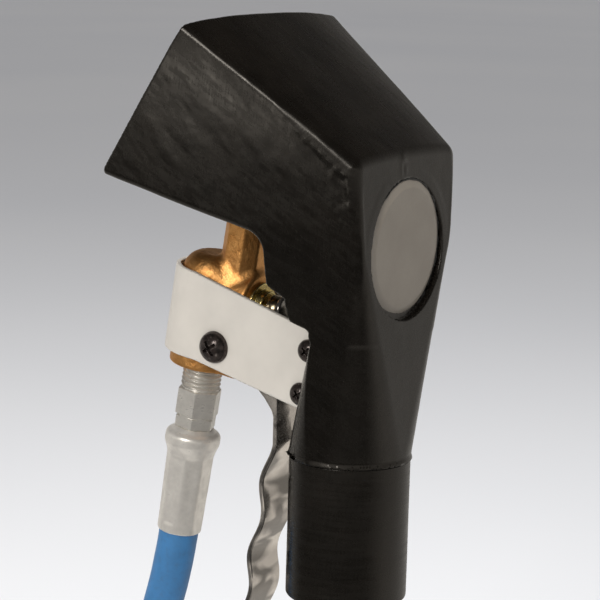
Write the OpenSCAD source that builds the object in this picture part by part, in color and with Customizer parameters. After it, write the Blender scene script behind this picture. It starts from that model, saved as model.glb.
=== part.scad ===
// Hand-held spray and vacuum tool: a hollow moulded head on a short hose tube,
// with a lever-operated brass valve held in a sheet-metal strap.
// +Z runs up the tube, the mouth faces -Y, +X and -X are mirror images.
// The origin is the centre of the tube's open end. Lengths are in millimetres.

/* [Hose tube] */
// Outside diameter of the tube that the vacuum hose cuff grips
tube_d = 38.1; // [36:0.1:40]
// Length of tube below the head
tube_len = 44.7; // [40:0.1:50]
// Wall thickness of the tube
tube_wall = 2.5; // [2:0.1:3]

/* [Head] */
// Width across the mouth
mouth_w = 89.2; // [86:0.1:92]
// Depth of the mouth, from the top lip to the bottom lip
mouth_h = 54.8; // [54:0.1:56]
// Angle of the mouth's outward direction above the horizon
mouth_tilt = 31.6; // [31:0.1:32]
// How much each side wall closes in per millimetre behind the mouth
side_taper = 0.2084; // [0.205:0.0001:0.212]
// Wall thickness of the moulding
wall = 3; // [2.6:0.1:3.2]
// Height of the crown across the top face, at the mouth
crown = 2.9; // [2:0.1:3.2]

/* [Window] */
// Radius of the recess that the window sits in
window_r = 21.7; // [21:0.1:22]
// Height of the window's centre above the open end of the tube
window_z = 112; // [111:0.1:113]

/* [Valve] */
// Lean of the valve, the hose fitting and the strap's front bend
valve_lean = 8.6; // [8.4:0.1:8.8]
// Radius of the valve's main chamber
valve_r = 11.3; // [11:0.1:11.5]
// Width across the flats of the eight-sided outlet leg
leg_af = 13.5; // [13:0.1:13.8]

/* [Strap] */
// Outside width of the strap that holds the valve
strap_w = 27; // [26.8:0.1:27.2]
// Sheet thickness of the strap
strap_t = 1.5; // [1.2:0.1:1.6]

/* [Lever] */
// Width of the lever
lever_w = 16.6; // [16:0.1:17]
// Sheet thickness of the lever
lever_t = 1.6; // [1.5:0.1:1.7]
// Distance from one finger crest to the next
finger_pitch = 24.2; // [23:0.1:25]
// Height of the finger waves above their mean line
finger_wave = 1.35; // [1:0.05:1.6]

/* [Hose] */
// Outside diameter of the solution hose
hose_d = 13.1; // [12.5:0.1:13.5]
// Bore of the solution hose
hose_bore = 6.4; // [6:0.1:6.6]
// Length of hose between its two ferrules
hose_len = 88; // [60:1:110]
// Bend radius of the hose as it hangs
hose_bend = 190; // [170:5:260]

/* [Hidden] */

fine = 96;
tube_r = tube_d / 2;
tube_in_r = tube_r - tube_wall;
spigot_len = 3.5;
spigot_r = tube_r - 1.8;
socket_gap = 0.05;
collar_r = tube_r + 0.5;
collar_z = tube_len + 1.3;
duct_r = tube_r + 0.2;

// The mouth's top lip on the side walls, as [y, z], and the frame that leans with the mouth.
lip = [-36.6, 178.8];
mouth_out = [-cos(mouth_tilt), sin(mouth_tilt)];
mouth_up = [sin(mouth_tilt), cos(mouth_tilt)];
chin = lip - mouth_h * mouth_up;
shoulder = [17.4, 140.2];
top_dir = (lip - shoulder) / norm(lip - shoulder);
top_out = [-top_dir[1], top_dir[0]] * (top_dir[0] < 0 ? -1 : 1);
crown_r = (pow(mouth_w / 2, 2) + pow(crown, 2)) / (2 * crown);
duct_z = 86;
square_z = 114;
back_lean = (19.15 - shoulder[0]) / (shoulder[1] - duct_z);
duct_front_y = -0.5;
function back_y(z) = shoulder[0] + (shoulder[1] - z) * back_lean;
// Half width of the side walls at a point [y, z] of the side view.
function half_w(p) = mouth_w / 2 + side_taper * ((p - lip) * mouth_out);
// Height of the crown at the shoulder, where the same curve spans the narrower top face.
shoulder_crown = pow(half_w(shoulder), 2) / (2 * crown_r);

// Side view of the head as [y, z, corner radius], raised at the top by the crown.
head_outline = [
    [lip[0] + crown * top_out[0], lip[1] + crown * top_out[1], 1.2],
    [shoulder[0], shoulder[1] + shoulder_crown / top_out[1], 1.8],
    [back_y(duct_z), duct_z, 0],
    [duct_front_y, duct_z, 0],
    [duct_front_y, 88.2, 1],
    [-7, 90.6, 1.5],
    [-8.1, 97.9, 2],
    [-13.4, 101.2, 2],
    [-13.8, 116.5, 7],
    [-40, 124.2, 60],
    [chin[0], chin[1], 2]
];

lens_r = window_r - 0.8;
lens_t = 3;
lens_sink = 0.5;
lens_rise = 0.45;
recess_depth = 2.4;
ledge_w = 2.6;
window_tilt = atan(back_lean);

// The valve's own frame: its origin is where the plunger axis crosses the inlet axis,
// local +Y points back along the plunger and local +Z points up the inlet axis.
valve_at = [-52.2, 91.4];
valve_up = [sin(valve_lean), cos(valve_lean)];
valve_back = [cos(valve_lean), -sin(valve_lean)];
function in_valve(p) = [(p - valve_at) * valve_back, (p - valve_at) * valve_up];
valve_foot = -24.5;
valve_dome = 12.7;
bonnet_r = 10;
bonnet_end = 17;
leg_y = 8.9;
leg_top = 33.2;
inlet_r = 6.6;
chamber_r = 5.6;
seat_r = 3.2;
seat_back = 1.5;
seat_front = -1;
plug_back = -7.4;
stem_r = 1.6;
gland_r = 2.6;
button_r = 4.6;
button_tip = 28.15;
lug_x = 6.3;

pivot = [-42.9, 76.1];
pivot_r = 2.5;
pivot_gap = 0.05;
strap_x = strap_w / 2;
strap_in = strap_x - strap_t;
// Strap side view: square to the valve round the bend, then falling towards the rear.
strap_top = [-51.4, 99.3];
strap_bottom = [-50.3, 70.8];
strap_rear = [[-1.4, 83.8], [-1.4, 81.4], [-9.9, 60.2]];
strap_reach = 24;
strap_screw_at = [[-8.0, 79.3], [-10.5, 65.4]];
strap_screw_r = 2.0;
boss_x = strap_in - 0.1;
boss_front_y = -15.6;

lever_x = lever_w / 2;
web_y = -24.2;
web_top_z = 93.5;
wave_top_z = 46.4;
wave_drop = 0.161;
lever_end_z = -27.5;
eye_r = 4.4;

leg_axis_y = valve_at[0] + leg_y * valve_back[0];

// ---- helpers ----

// Polygon [y, z] of a side view drawn across X.
module across(width) {
    rotate([90, 0, 90]) linear_extrude(width, center = true) children();
}

// A cylinder along X at [y, z], from x0 to x1.
module pin_x(at, r, x0, x1, sides = fine) {
    translate([x0, at[0], at[1]]) rotate([0, 90, 0]) cylinder(r = r, h = x1 - x0, $fn = sides);
}

module in_valve_frame() {
    translate([0, valve_at[0], valve_at[1]]) rotate([-valve_lean, 0, 0]) children();
}

// A cylinder along the plunger axis, from y0 to y1 in the valve's frame.
module along_plunger(r, y0, y1, sides = fine) {
    translate([0, y0, 0]) rotate([-90, 0, 0]) cylinder(r = r, h = y1 - y0, $fn = sides);
}

// A solid of revolution about the plunger axis: points are [radius, local y].
module turned_on_plunger(points) {
    rotate([-90, 0, 0]) rotate_extrude($fn = fine) polygon(points);
}

module ring(r_in, r_out, h) {
    rotate_extrude($fn = fine) translate([r_in, 0]) square([r_out - r_in, h]);
}

module hex_prism(af, h) {
    cylinder(r = af / sqrt(3), h = h, $fn = 6);
}

function unit(v) = v / norm(v);
function cross2(a, b) = a[0] * b[1] - a[1] * b[0];
function at2(p) = [p[0], p[1]];

// Points of an arc that rounds the corner at p between a and b with radius r.
function corner_arc(a, p, b, r, steps) =
    let(u = unit(a - p), v = unit(b - p), half = acos(u * v) / 2,
        centre = p + unit(u + v) * r / sin(half), turn = 90 - half,
        from = p + u * r / tan(half) - centre, way = sign(cross2(u, v)))
    [for (i = [0:steps]) let(t = -way * 2 * turn * i / steps)
        centre + [from[0] * cos(t) - from[1] * sin(t), from[0] * sin(t) + from[1] * cos(t)]];

// An outline of [y, z, radius] corners with each corner rounded.
function rounded(outline, steps = 10) =
    let(n = len(outline))
    [for (i = [0:n - 1])
        let(p = outline[i], a = at2(outline[(i + n - 1) % n]), b = at2(outline[(i + 1) % n]))
        each (p[2] > 0 ? corner_arc(a, at2(p), b, p[2], steps) : [at2(p)])];

// The same outline moved inwards by d; corners that bulge inwards gain radius.
function inset(outline, d) =
    let(n = len(outline))
    [for (i = [0:n - 1])
        let(p = at2(outline[i]), a = at2(outline[(i + n - 1) % n]), b = at2(outline[(i + 1) % n]),
            u = unit(p - a), v = unit(b - p), nu = [u[1], -u[0]], nv = [v[1], -v[0]],
            q = p + (nu + nv) * d / (1 + nu * nv), turn = cross2(u, v))
        [q[0], q[1], outline[i][2] > 0 ? max(0.5, outline[i][2] + (turn > 0 ? d : -d)) : 0]];

// ---- head ----

// Space between the two flared side walls, moved in by d, out to reach past the mouth.
module flare(d, reach) {
    back = 170;
    w_mouth = mouth_w / 2 - d * sqrt(1 + side_taper * side_taper) + side_taper * reach;
    w_back = w_mouth - side_taper * (back + reach);
    translate([0, lip[0], lip[1]]) rotate([-mouth_tilt, 0, 0])
        translate([0, 0, -200]) linear_extrude(260)
            polygon([[-w_mouth, -reach], [w_mouth, -reach], [w_back, back], [-w_back, back]]);
}

// Large cylinder whose surface crowns the top face across its width.
module crown_body(d) {
    axis_at = lip + (crown - crown_r) * top_out;
    along = lip + crown * top_out - shoulder - shoulder_crown * top_out;
    translate([0, axis_at[0], axis_at[1]]) rotate([-atan2(along[1], -along[0]), 0, 0])
        rotate([90, 0, 0]) translate([0, 0, -150]) cylinder(r = crown_r - d, h = 300, $fn = 360);
}

// The duct blends from the round collar to the flat-sided section under the head.
module duct(d) {
    front_r = 5 - d / 2;
    back_r = 10.4 - d;
    y0 = duct_front_y + d;
    y1 = back_y(duct_z) - d;
    w0 = half_w([y0, duct_z]) - 0.1 - d;
    w1 = half_w([y1, duct_z]) - 0.1 - d;
    hull() {
        for (x = [-1, 1]) {
            translate([x * (w0 - front_r), y0 + front_r, duct_z]) cylinder(r = front_r, h = 0.2, $fn = 48);
            translate([x * (w1 - back_r), y1 - back_r, duct_z]) cylinder(r = back_r, h = 0.2, $fn = 48);
        }
        translate([0, 0, collar_z]) cylinder(r = duct_r - d, h = 0.1, $fn = fine);
    }
}

// Limits of the head behind its throat: round at the collar, square-cornered at square_z and above.
module envelope(d) {
    r = 1.6;
    y1 = back_y(square_z) - d;
    w0 = half_w([-60, square_z]) - d;
    w1 = half_w([y1, square_z]) - d;
    hull() {
        for (x = [-1, 1]) {
            translate([x * (w1 - r), y1 - r, square_z]) cylinder(r = r, h = 0.2, $fn = 32);
            translate([x * (w0 - r), -60, square_z]) cylinder(r = r, h = 0.2, $fn = 32);
            translate([x * (duct_r - d - r), -60, collar_z]) cylinder(r = r, h = 0.1, $fn = 32);
        }
        translate([0, 0, collar_z]) cylinder(r = duct_r - d, h = 0.1, $fn = fine);
    }
    translate([-60, -90, square_z + 0.1]) cube([120, 130, 90]);
}

module head_solid(d, reach) {
    outline = d > 0 ? inset(mouth_reach(reach), d) : head_outline;
    intersection() {
        across(120) polygon(rounded(outline));
        flare(d, reach);
        crown_body(d);
    }
}

// The outline with its mouth edge pushed out, so that the cavity opens the mouth.
function mouth_reach(reach) =
    [for (i = [0:len(head_outline) - 1])
        let(p = head_outline[i], out = (i == 0 || i == len(head_outline) - 1) ? reach : 0)
        [p[0] + out * mouth_out[0], p[1] + out * mouth_out[1], p[2]]];

// Head and duct together, moved in by d.
module head_and_duct(d, reach) {
    intersection() {
        union() {
            head_solid(d, reach);
            duct(d);
            if (d > 0) translate([0, 0, duct_z - 0.5]) linear_extrude(d + 9) duct_mouth(d);
        }
        envelope(d);
    }
}

module cavity() {
    head_and_duct(wall, 12);
    translate([0, 0, tube_len - 1]) cylinder(r = spigot_r + socket_gap, h = spigot_len + 1, $fn = fine);
}

// Inside of the duct where it opens through the floor of the head.
module duct_mouth(d) {
    y0 = duct_front_y + d;
    y1 = back_y(duct_z) - d;
    w0 = half_w([y0, duct_z]) - d - 1;
    w1 = half_w([y1, duct_z]) - d - 1;
    polygon([[-w0, y0], [w0, y0], [w1, y1], [-w1, y1]]);
}

// Region of the top and back faces that belongs to the cover, cover_t deep.
cover_t = wall + 0.1;
module cover_region(d) {
    out = 6;
    s_out = [shoulder[0] + out, shoulder[1] + out];
    depth = cover_t - d;
    s_in = at2(inset(head_outline, depth)[1]);
    far = lip + 20 * top_dir;
    across(130) polygon([
        far + (out + crown) * top_out, s_out + 8 * top_out, [back_y(duct_z) + out, duct_z + d],
        [back_y(duct_z) - depth, duct_z + d], s_in, far + (crown - depth) * top_out]);
}

module strap_boss() {
    across(2 * boss_x) polygon([
        [boss_front_y, 63.6], [boss_front_y, 83.0], [boss_front_y + 3, 86.4],
        [6, 89], [6, 62], [-8, 58]]);
}

// Room for the strap's rear ends, the screws and the screw heads.
module strap_seats() {
    for (s = [0, 1]) mirror([s, 0, 0]) {
        translate([strap_x - strap_t / 2, 0, 0]) across(strap_t + 0.16) polygon([
            [-20, 90.5], [-5.6, 90.5], [strap_rear[0][0] + 0.15, 84.3], [strap_rear[1][0] + 0.15, strap_rear[1][1]],
            [strap_rear[2][0] + 0.15, strap_rear[2][1]], [strap_rear[2][0] - 1, 57], [-20, 57]]);
        for (at = strap_screw_at) {
            pin_x(at, strap_screw_r, boss_x - 9, boss_x + 1, 48);
            pin_x(at, 4.0, strap_x - 0.05, strap_x + 8, 48);
        }
    }
}

module nozzle_pad() {
    in_valve_frame() translate([0, leg_y, leg_top + 0.6]) cylinder(r = 9.5, h = 8, $fn = fine);
}

module head_shell() {
    color([0.09, 0.085, 0.08]) difference() {
        union() {
            difference() {
                union() {
                    head_and_duct(0, 0);
                    translate([0, 0, tube_len]) cylinder(r = collar_r, h = collar_z - tube_len, $fn = fine);
                    strap_boss();
                    nozzle_pad();
                }
                cavity();
            }
            intersection() {
                nozzle_pad();
                in_valve_frame() translate([0, leg_y, leg_top]) cylinder(r = 12, h = 5.2, $fn = fine);
            }
        }
        cover_region(0);
        in_valve_frame() translate([0, leg_y, leg_top - 2]) {
            cylinder(r = 5.1, h = 14, $fn = fine);
            cylinder(r = 7.7, h = 2.6, $fn = fine);
        }
        window_cut(window_r + 0.4, 1, 8);
        strap_seats();
    }
}

module window_cut(r, depth0, depth1) {
    at_window() translate([0, 0, -depth1]) cylinder(r = r, h = depth1 - depth0, $fn = fine);
}

module back_cover() {
    color([0.09, 0.085, 0.08]) difference() {
        intersection() {
            head_solid(0, 0);
            envelope(0);
            cover_region(0.05);
        }
        window_cut(window_r, -4, recess_depth);
        window_cut(window_r - ledge_w, -1, 8);
    }
}

module at_window() {
    translate([0, back_y(window_z), window_z]) rotate([-window_tilt, 0, 0]) rotate([-90, 0, 0]) children();
}

// The lens sits a little high in its recess, on the ledge round the opening.
module window_lens() {
    floor_z = -recess_depth;
    color([0.75, 0.75, 0.72, 0.5]) at_window() translate([0, -lens_rise, 0]) rotate_extrude($fn = fine)
        polygon([
            [0, -lens_sink], [lens_r - 0.9, -lens_sink], [lens_r, -lens_sink - 0.7],
            [lens_r, floor_z], [lens_r - ledge_w + 0.2, floor_z],
            [lens_r - ledge_w - 0.3, floor_z - 0.6], [0, floor_z - 0.6]]);
}

// Bead of sealant in the gap between the lens and the side of its recess.
module window_seal() {
    color([0.12, 0.12, 0.11]) at_window() translate([0, 0, -recess_depth + 0.02]) difference() {
        cylinder(r = window_r - 0.03, h = 1.1, $fn = fine);
        translate([0, -lens_rise, -1]) cylinder(r = lens_r + 0.03, h = 4, $fn = fine);
    }
}

// Bent plate that parts the vacuum passage from the spray chamber.
divider_t = 2.2;
slot_gap = 9;
module divider_plate() {
    gap = wall + slot_gap;
    mouth_at = lip - gap * top_out - 1.5 * mouth_out;
    bend_at = [duct_front_y + 1, shoulder[1] - 9];
    foot = [duct_front_y + 1, 93.2];
    under = -divider_t;
    color([0.10, 0.095, 0.09]) intersection() {
        across(110) polygon(rounded([
            [mouth_at[0], mouth_at[1], 0], [bend_at[0] + 1.5, bend_at[1] + 0.5, 6],
            [foot[0], foot[1], 0], [foot[0] + under, foot[1] + 2, 0],
            [bend_at[0] + under + 0.5, bend_at[1] + under + 1, 4],
            [mouth_at[0] + under * top_out[0], mouth_at[1] + under * top_out[1], 0]]));
        flare(wall + 0.05, 0);
        envelope(wall + 0.05);
    }
}

// Tube that the vacuum hose cuff slides over, with a spigot bonded into the head.
module vacuum_tube() {
    top = tube_len + spigot_len - 0.5;
    color([0.09, 0.085, 0.08]) rotate_extrude($fn = fine) polygon([
        [tube_in_r, 0], [tube_r - 1.2, 0], [tube_r - 0.35, 0.35], [tube_r, 1.2],
        [tube_r, tube_len - 0.05], [spigot_r, tube_len - 0.05], [spigot_r, top], [tube_in_r, top]]);
}

// ---- strap, screws and pivot ----

// Sheet bent round the front of the valve, seen along the valve's inlet axis.
module strap_bend() {
    in_valve_frame() translate([0, 0, -60]) linear_extrude(120) difference() {
        union() {
            circle(r = strap_x, $fn = fine);
            translate([-strap_x, 0]) square([2 * strap_x, 70]);
        }
        circle(r = strap_in, $fn = fine);
        translate([-strap_in, 0]) square([2 * strap_in, 71]);
    }
}

module strap() {
    color([0.80, 0.78, 0.74]) difference() {
        intersection() {
            strap_bend();
            across(60) polygon(concat(
                [strap_top - strap_reach * valve_back, strap_top], strap_rear,
                [strap_bottom, strap_bottom - strap_reach * valve_back]));
        }
        pin_x(pivot, pivot_r + 0.1, -20, 20);
        for (at = strap_screw_at) pin_x(at, strap_screw_r + 0.15, -20, 20, 48);
    }
}

// Cross recess cut in the head of a screw whose top is at z = 0.
module cross_recess(size) {
    for (a = [0, 90]) rotate([0, 0, a]) translate([-size / 2, -size / 9, -size * 0.32])
        cube([size, size / 4.5, size]);
}

// Pan-head screw along +X: the head's underside is at x = 0.
module pan_screw(head_r, head_h, shank_r, shank_len) {
    rotate([0, 90, 0]) {
        difference() {
            rotate_extrude($fn = 64) polygon(concat(
                [[0, 0], [head_r, 0], [head_r, head_h * 0.25]],
                [for (i = [1:8]) let(t = 90 * i / 8)
                    [head_r * cos(t), head_h * (0.25 + 0.75 * sin(t))]]));
            translate([0, 0, head_h]) cross_recess(head_r * 1.05);
        }
        translate([0, 0, -shank_len]) cylinder(r = shank_r, h = shank_len + 0.2, $fn = 48);
    }
}

module strap_screws() {
    color([0.10, 0.10, 0.10]) for (at = strap_screw_at, s = [0, 1])
        translate([0, at[0], at[1]]) mirror([s, 0, 0]) translate([strap_x, 0, 0]) rotate([20, 0, 0])
            pan_screw(3.8, 2.4, strap_screw_r - 0.02, strap_t + 8.5);
}

module pivot_bolt() {
    color([0.10, 0.10, 0.10]) translate([strap_x, pivot[0], pivot[1]]) rotate([28, 0, 0])
        pan_screw(5.4, 3.8, pivot_r, 2 * strap_x + 5.4);
}

module pivot_nut() {
    color([0.72, 0.72, 0.70]) translate([-strap_x - 4.4, pivot[0], pivot[1]]) rotate([0, 90, 0])
        difference() {
            union() {
                translate([0, 0, 1.2]) hex_prism(8.7, 3.2);
                cylinder(r = 3.9, h = 1.3, $fn = 64);
            }
            translate([0, 0, -1]) cylinder(r = pivot_r + 0.02, h = 7, $fn = 64);
        }
}

module pivot_spacers() {
    color([0.9, 0.9, 0.88]) for (s = [0, 1]) mirror([s, 0, 0])
        translate([lever_x + 0.08, pivot[0], pivot[1]]) rotate([0, 90, 0])
            ring(pivot_r + 0.05, 4.2, strap_in - lever_x - 0.13);
}

// ---- lever ----

// Front face of the lever at height z: straight at the top, waved under the fingers.
function lever_y(z) =
    z >= wave_top_z ? web_y + 0.5 * (web_top_z - z) / (web_top_z - wave_top_z)
    : web_y + 0.5 - (wave_top_z - z) * wave_drop
        - finger_wave * (1 - cos(360 * (wave_top_z - z) / finger_pitch * 0.985));
function lever_points(steps) = concat(
    [[lever_y(web_top_z), web_top_z]],
    [for (i = [0:steps]) let(z = wave_top_z + (lever_end_z - wave_top_z) * i / steps) [lever_y(z), z]]);
// Offsets a polyline to its right-hand side by d.
function beside(line, d) = [for (i = [0:len(line) - 1])
    let(a = line[max(0, i - 1)], b = line[min(len(line) - 1, i + 1)], t = unit(b - a))
    line[i] + d * [-t[1], t[0]]];
function reversed(line) = [for (i = [len(line) - 1:-1:0]) line[i]];

module lever_ear() {
    difference() {
        union() {
            pin_x(pivot, eye_r, lever_x - lever_t, lever_x);
            translate([lever_x - lever_t / 2, 0, 0]) across(lever_t) polygon([
                [web_y + 0.9, 55.5], [-25.3, 58.4], [-27.1, 60.8], [-29.4, 63.0], [-32.6, 65.4],
                pivot + eye_r * [-0.54, -0.8417], pivot + eye_r * [0.2, 0.98],
                [-36, 80.4], [-31.5, 80.4], [-29, 82], [-27.4, 85], [web_y + 0.5, 87]]);
        }
        pin_x(pivot, pivot_r + pivot_gap, lever_x - lever_t - 1, lever_x + 1);
    }
}

module trigger_lever() {
    front = lever_points(66);
    back = beside(front, lever_t);
    color([0.75, 0.74, 0.72]) {
        across(lever_w) polygon(concat(front, reversed(back)));
        for (s = [0, 1]) mirror([s, 0, 0]) lever_ear();
    }
}

// ---- valve, in its own frame ----

module valve_outside() {
    dome_r = 7;
    rotate_extrude($fn = fine) polygon(concat(
        [[0, valve_foot], [valve_r - 0.8, valve_foot], [valve_r, valve_foot + 0.8]],
        [for (i = [0:10]) let(t = 90 * i / 10)
            [valve_r - dome_r + dome_r * cos(t), valve_dome - dome_r + dome_r * sin(t)]],
        [[0, valve_dome]]));
    turned_on_plunger([[0, 0], [bonnet_r, 0], [bonnet_r, bonnet_end - 1.6],
        [bonnet_r - 1.4, bonnet_end], [0, bonnet_end]]);
    translate([0, leg_y, 0]) rotate([0, 0, 22.5])
        cylinder(r = leg_af / 2 / cos(22.5), h = leg_top, $fn = 8);
    translate([-lug_x, 0, valve_foot]) cube([2 * lug_x, 16, 15.5]);
}

module valve_body() {
    bolt = in_valve(pivot);
    color([0.80, 0.60, 0.28]) in_valve_frame() difference() {
        valve_outside();
        for (s = [-1, 1]) translate([s * (lug_x + 5) - 5, 1.2, bolt[1] - 6]) cube([10, 16, 11.6]);
        translate([0, 0, valve_foot - 1]) cylinder(r = inlet_r, h = 11, $fn = fine);
        translate([0, -4.6, valve_foot]) cylinder(r = 2.4, h = 24, $fn = 48);
        along_plunger(6.4, -valve_r - 1, plug_back);
        along_plunger(chamber_r, plug_back - 0.1, seat_front);
        along_plunger(seat_r, seat_front - 0.1, seat_back + 0.1);
        along_plunger(chamber_r, seat_back, bonnet_end + 1);
        translate([0, leg_y, 0]) cylinder(r = 3.4, h = leg_top - 8, $fn = 64);
        translate([0, leg_y, leg_top - 9]) cylinder(r = 4.95, h = 10, $fn = fine);
        translate([0, bolt[0], bolt[1]]) rotate([0, 90, 0]) cylinder(r = pivot_r + pivot_gap, h = 40, center = true, $fn = fine);
    }
}

module valve_end_plug() {
    color([0.80, 0.60, 0.28]) in_valve_frame() difference() {
        intersection() {
            along_plunger(6.35, -valve_r + 0.2, plug_back - 0.02);
            translate([0, 0, -8]) cylinder(r = valve_r - 0.05, h = 16, $fn = fine);
        }
        translate([-4, -valve_r - 1, -0.6]) cube([8, 2.4, 1.2]);
        along_plunger(3.6, plug_back - 1, plug_back + 1, 48);
    }
}

// Compression spring between the end plug and the poppet, as one closed coil.
spring_r = 3.0;
spring_wire = 0.35;
module valve_spring() {
    y0 = plug_back - 0.55;
    y1 = -3.9;
    turns = 4;
    steps = 14;
    color([0.7, 0.7, 0.72]) in_valve_frame() for (i = [0:turns * steps - 1])
        hull() for (k = [i, i + 1])
            translate([spring_r * cos(360 * k / steps), y0 + (y1 - y0) * k / (turns * steps),
                spring_r * sin(360 * k / steps)])
                rotate([0, -360 * k / steps, 0]) cylinder(r = spring_wire, h = 0.01, $fn = 6);
}

module valve_poppet() {
    color([0.80, 0.60, 0.28]) in_valve_frame() turned_on_plunger([
        [0, -3.4], [4.4, -3.4], [4.4, -2.2], [stem_r, -2.2], [stem_r, 22.4], [0, 22.4]]);
}

module poppet_washer() {
    color([0.08, 0.08, 0.08]) in_valve_frame() turned_on_plunger([
        [stem_r + 0.02, -2.18], [4.3, -2.18], [4.3, seat_front - 0.02], [stem_r + 0.02, seat_front - 0.02]]);
}

module stem_o_ring() {
    color([0.08, 0.08, 0.08]) in_valve_frame() translate([0, 14, 0]) rotate([-90, 0, 0])
        rotate_extrude($fn = fine) translate([stem_r + 0.92, 0]) circle(r = 0.87, $fn = 32);
}

module packing_nut() {
    color([0.78, 0.66, 0.34]) in_valve_frame() turned_on_plunger([
        [stem_r + 0.05, 15], [chamber_r - 0.05, 15], [chamber_r - 0.05, bonnet_end + 0.1],
        [bonnet_r - 2.6, bonnet_end + 0.1], [bonnet_r - 2.6, bonnet_end + 1.3], [5.2, bonnet_end + 1.3],
        [5.2, 20.9], [stem_r + 0.05, 20.9]]);
}

module plunger_button() {
    dome = 4.2;
    color([0.55, 0.48, 0.36]) in_valve_frame() turned_on_plunger(concat(
        [[0, 22.42], [stem_r + 0.6, 22.42], [stem_r + 0.6, 22.1], [button_r - 0.3, 22.1], [button_r, 22.4]],
        [for (i = [0:12]) let(t = 90 * i / 12)
            [button_r * cos(t), button_tip - dome + dome * sin(t)]]));
}

// ---- spray nozzle inside the head ----

module nozzle_gasket() {
    color([0.08, 0.08, 0.08]) in_valve_frame() translate([0, leg_y, leg_top + 0.02])
        ring(5.1, 7.6, 0.56);
}

nozzle_at = 12.6;
nozzle_turn = 90 - mouth_tilt - valve_lean - 9;
module toward_mouth() {
    in_valve_frame() translate([0, leg_y, leg_top + nozzle_at]) rotate([nozzle_turn, 0, 0]) children();
}

module nozzle_elbow() {
    color([0.80, 0.60, 0.28]) {
        difference() {
            union() {
                in_valve_frame() translate([0, leg_y, leg_top]) {
                    translate([0, 0, -8.4]) cylinder(r = 4.9, h = 16, $fn = fine);
                    translate([0, 0, 5.85]) hex_prism(15, 3.6);
                    translate([0, 0, 9]) cylinder(r = 5.6, h = nozzle_at - 9, $fn = fine);
                    translate([0, 0, nozzle_at]) sphere(r = 6.1, $fn = 64);
                }
                toward_mouth() cylinder(r = 5.6, h = 8.4, $fn = fine);
            }
            in_valve_frame() translate([0, leg_y, leg_top - 9]) cylinder(r = 2.4, h = nozzle_at + 9, $fn = 48);
            toward_mouth() cylinder(r = 2.4, h = 10, $fn = 48);
            toward_mouth() translate([0, 0, 3.4]) cylinder(r = 3.95, h = 7, $fn = fine);
        }
    }
}

module nozzle_strainer() {
    color([0.75, 0.75, 0.74]) toward_mouth() difference() {
        union() {
            translate([0, 0, 3.6]) cylinder(r = 3.8, h = 0.9, $fn = 64);
            translate([0, 0, 0.3]) cylinder(r = 2.1, h = 3.5, $fn = 64);
        }
        translate([0, 0, -0.4]) cylinder(r = 1.5, h = 6, $fn = 48);
    }
}

module spray_tip() {
    color([0.80, 0.60, 0.28]) toward_mouth() difference() {
        union() {
            translate([0, 0, 4.6]) cylinder(r = 3.9, h = 4.4, $fn = fine);
            translate([0, 0, 8.6]) hex_prism(9.6, 3.6);
            translate([0, 0, 12]) cylinder(r1 = 3.6, r2 = 3.0, h = 2.4, $fn = 64);
        }
        translate([0, 0, 4]) cylinder(r = 1.8, h = 8.6, $fn = 48);
        translate([0, 0, 10]) cylinder(r = 0.5, h = 6, $fn = 24);
        translate([-4, -0.45, 13.4]) cube([8, 0.9, 2]);
    }
}

// ---- solution hose and its fittings ----

// Inlet fitting heights below the valve, in the valve's frame.
hex_top = -33.0;
hex_low = -41.8;
neck_low = -46.0;
ferrule_top = -45.6;
bulb_z = -49.0;
bulb_low = -54.4;
ferrule_low = -82.2;
barb_r = hose_bore / 2 - 0.02;
fitting_bore = 2.1;

// Threaded length drawn as rounded ridges.
module ridged(r, z0, z1, pitch) {
    n = floor((z1 - z0) / pitch);
    rotate_extrude($fn = fine) polygon(concat([[0, z0], [r - 0.5, z0]],
        [for (i = [0:n - 1]) each [[r - 0.5, z0 + i * pitch + 0.1], [r, z0 + (i + 0.5) * pitch]]],
        [[r - 0.5, z1], [0, z1]]));
}

module inlet_fitting() {
    color([0.78, 0.77, 0.73]) in_valve_frame() difference() {
        union() {
            ridged(inlet_r - 0.05, hex_top + 0.4, valve_foot + 9.6, 1.41);
            translate([0, 0, hex_top - 1]) cylinder(r = inlet_r - 0.6, h = 2, $fn = fine);
            intersection() {
                translate([0, 0, hex_low]) rotate([0, 0, -8]) hex_prism(12.8, hex_top - hex_low);
                translate([0, 0, hex_low]) cylinder(r1 = 7.6, r2 = 7.2, h = hex_top - hex_low, $fn = fine);
            }
            translate([0, 0, neck_low]) rotate([0, 0, -8]) hex_prism(12.0, hex_low - neck_low + 0.1);
            translate([0, 0, ferrule_low + 2]) cylinder(r = barb_r, h = neck_low - ferrule_low, $fn = 64);
        }
        translate([0, 0, ferrule_low]) cylinder(r = fitting_bore, h = 80, $fn = 48);
    }
}

// Crimped ferrule hanging down from z = 0: a bulb on top and an eight-sided crimp below.
module ferrule(neck_r, length) {
    bulb_r = 9.05;
    crimp_af = 14.7;
    bulb_h = 8.8;
    difference() {
        union() {
            rotate_extrude($fn = fine) polygon(concat(
                [[0, 0], [neck_r, 0]],
                [for (i = [0:12]) let(t = 62 - 120 * i / 12)
                    [bulb_r - 3.6 + 3.6 * cos(t), -3.6 + 3.8 * sin(t)]],
                [[7.6, -bulb_h], [0, -bulb_h]]));
            intersection() {
                translate([0, 0, -length]) rotate([0, 0, 22.5]) cylinder(r = crimp_af / 2 / cos(22.5), h = length - bulb_h + 1.2, $fn = 8);
                translate([0, 0, -length]) cylinder(r1 = 7.25, r2 = 8.1, h = length, $fn = fine);
            }
        }
        translate([0, 0, -length - 1]) cylinder(r = crimp_r + 0.02, h = length - 2, $fn = fine);
        translate([0, 0, -4]) cylinder(r = barb_r + 0.02, h = 8, $fn = 64);
    }
}

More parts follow.
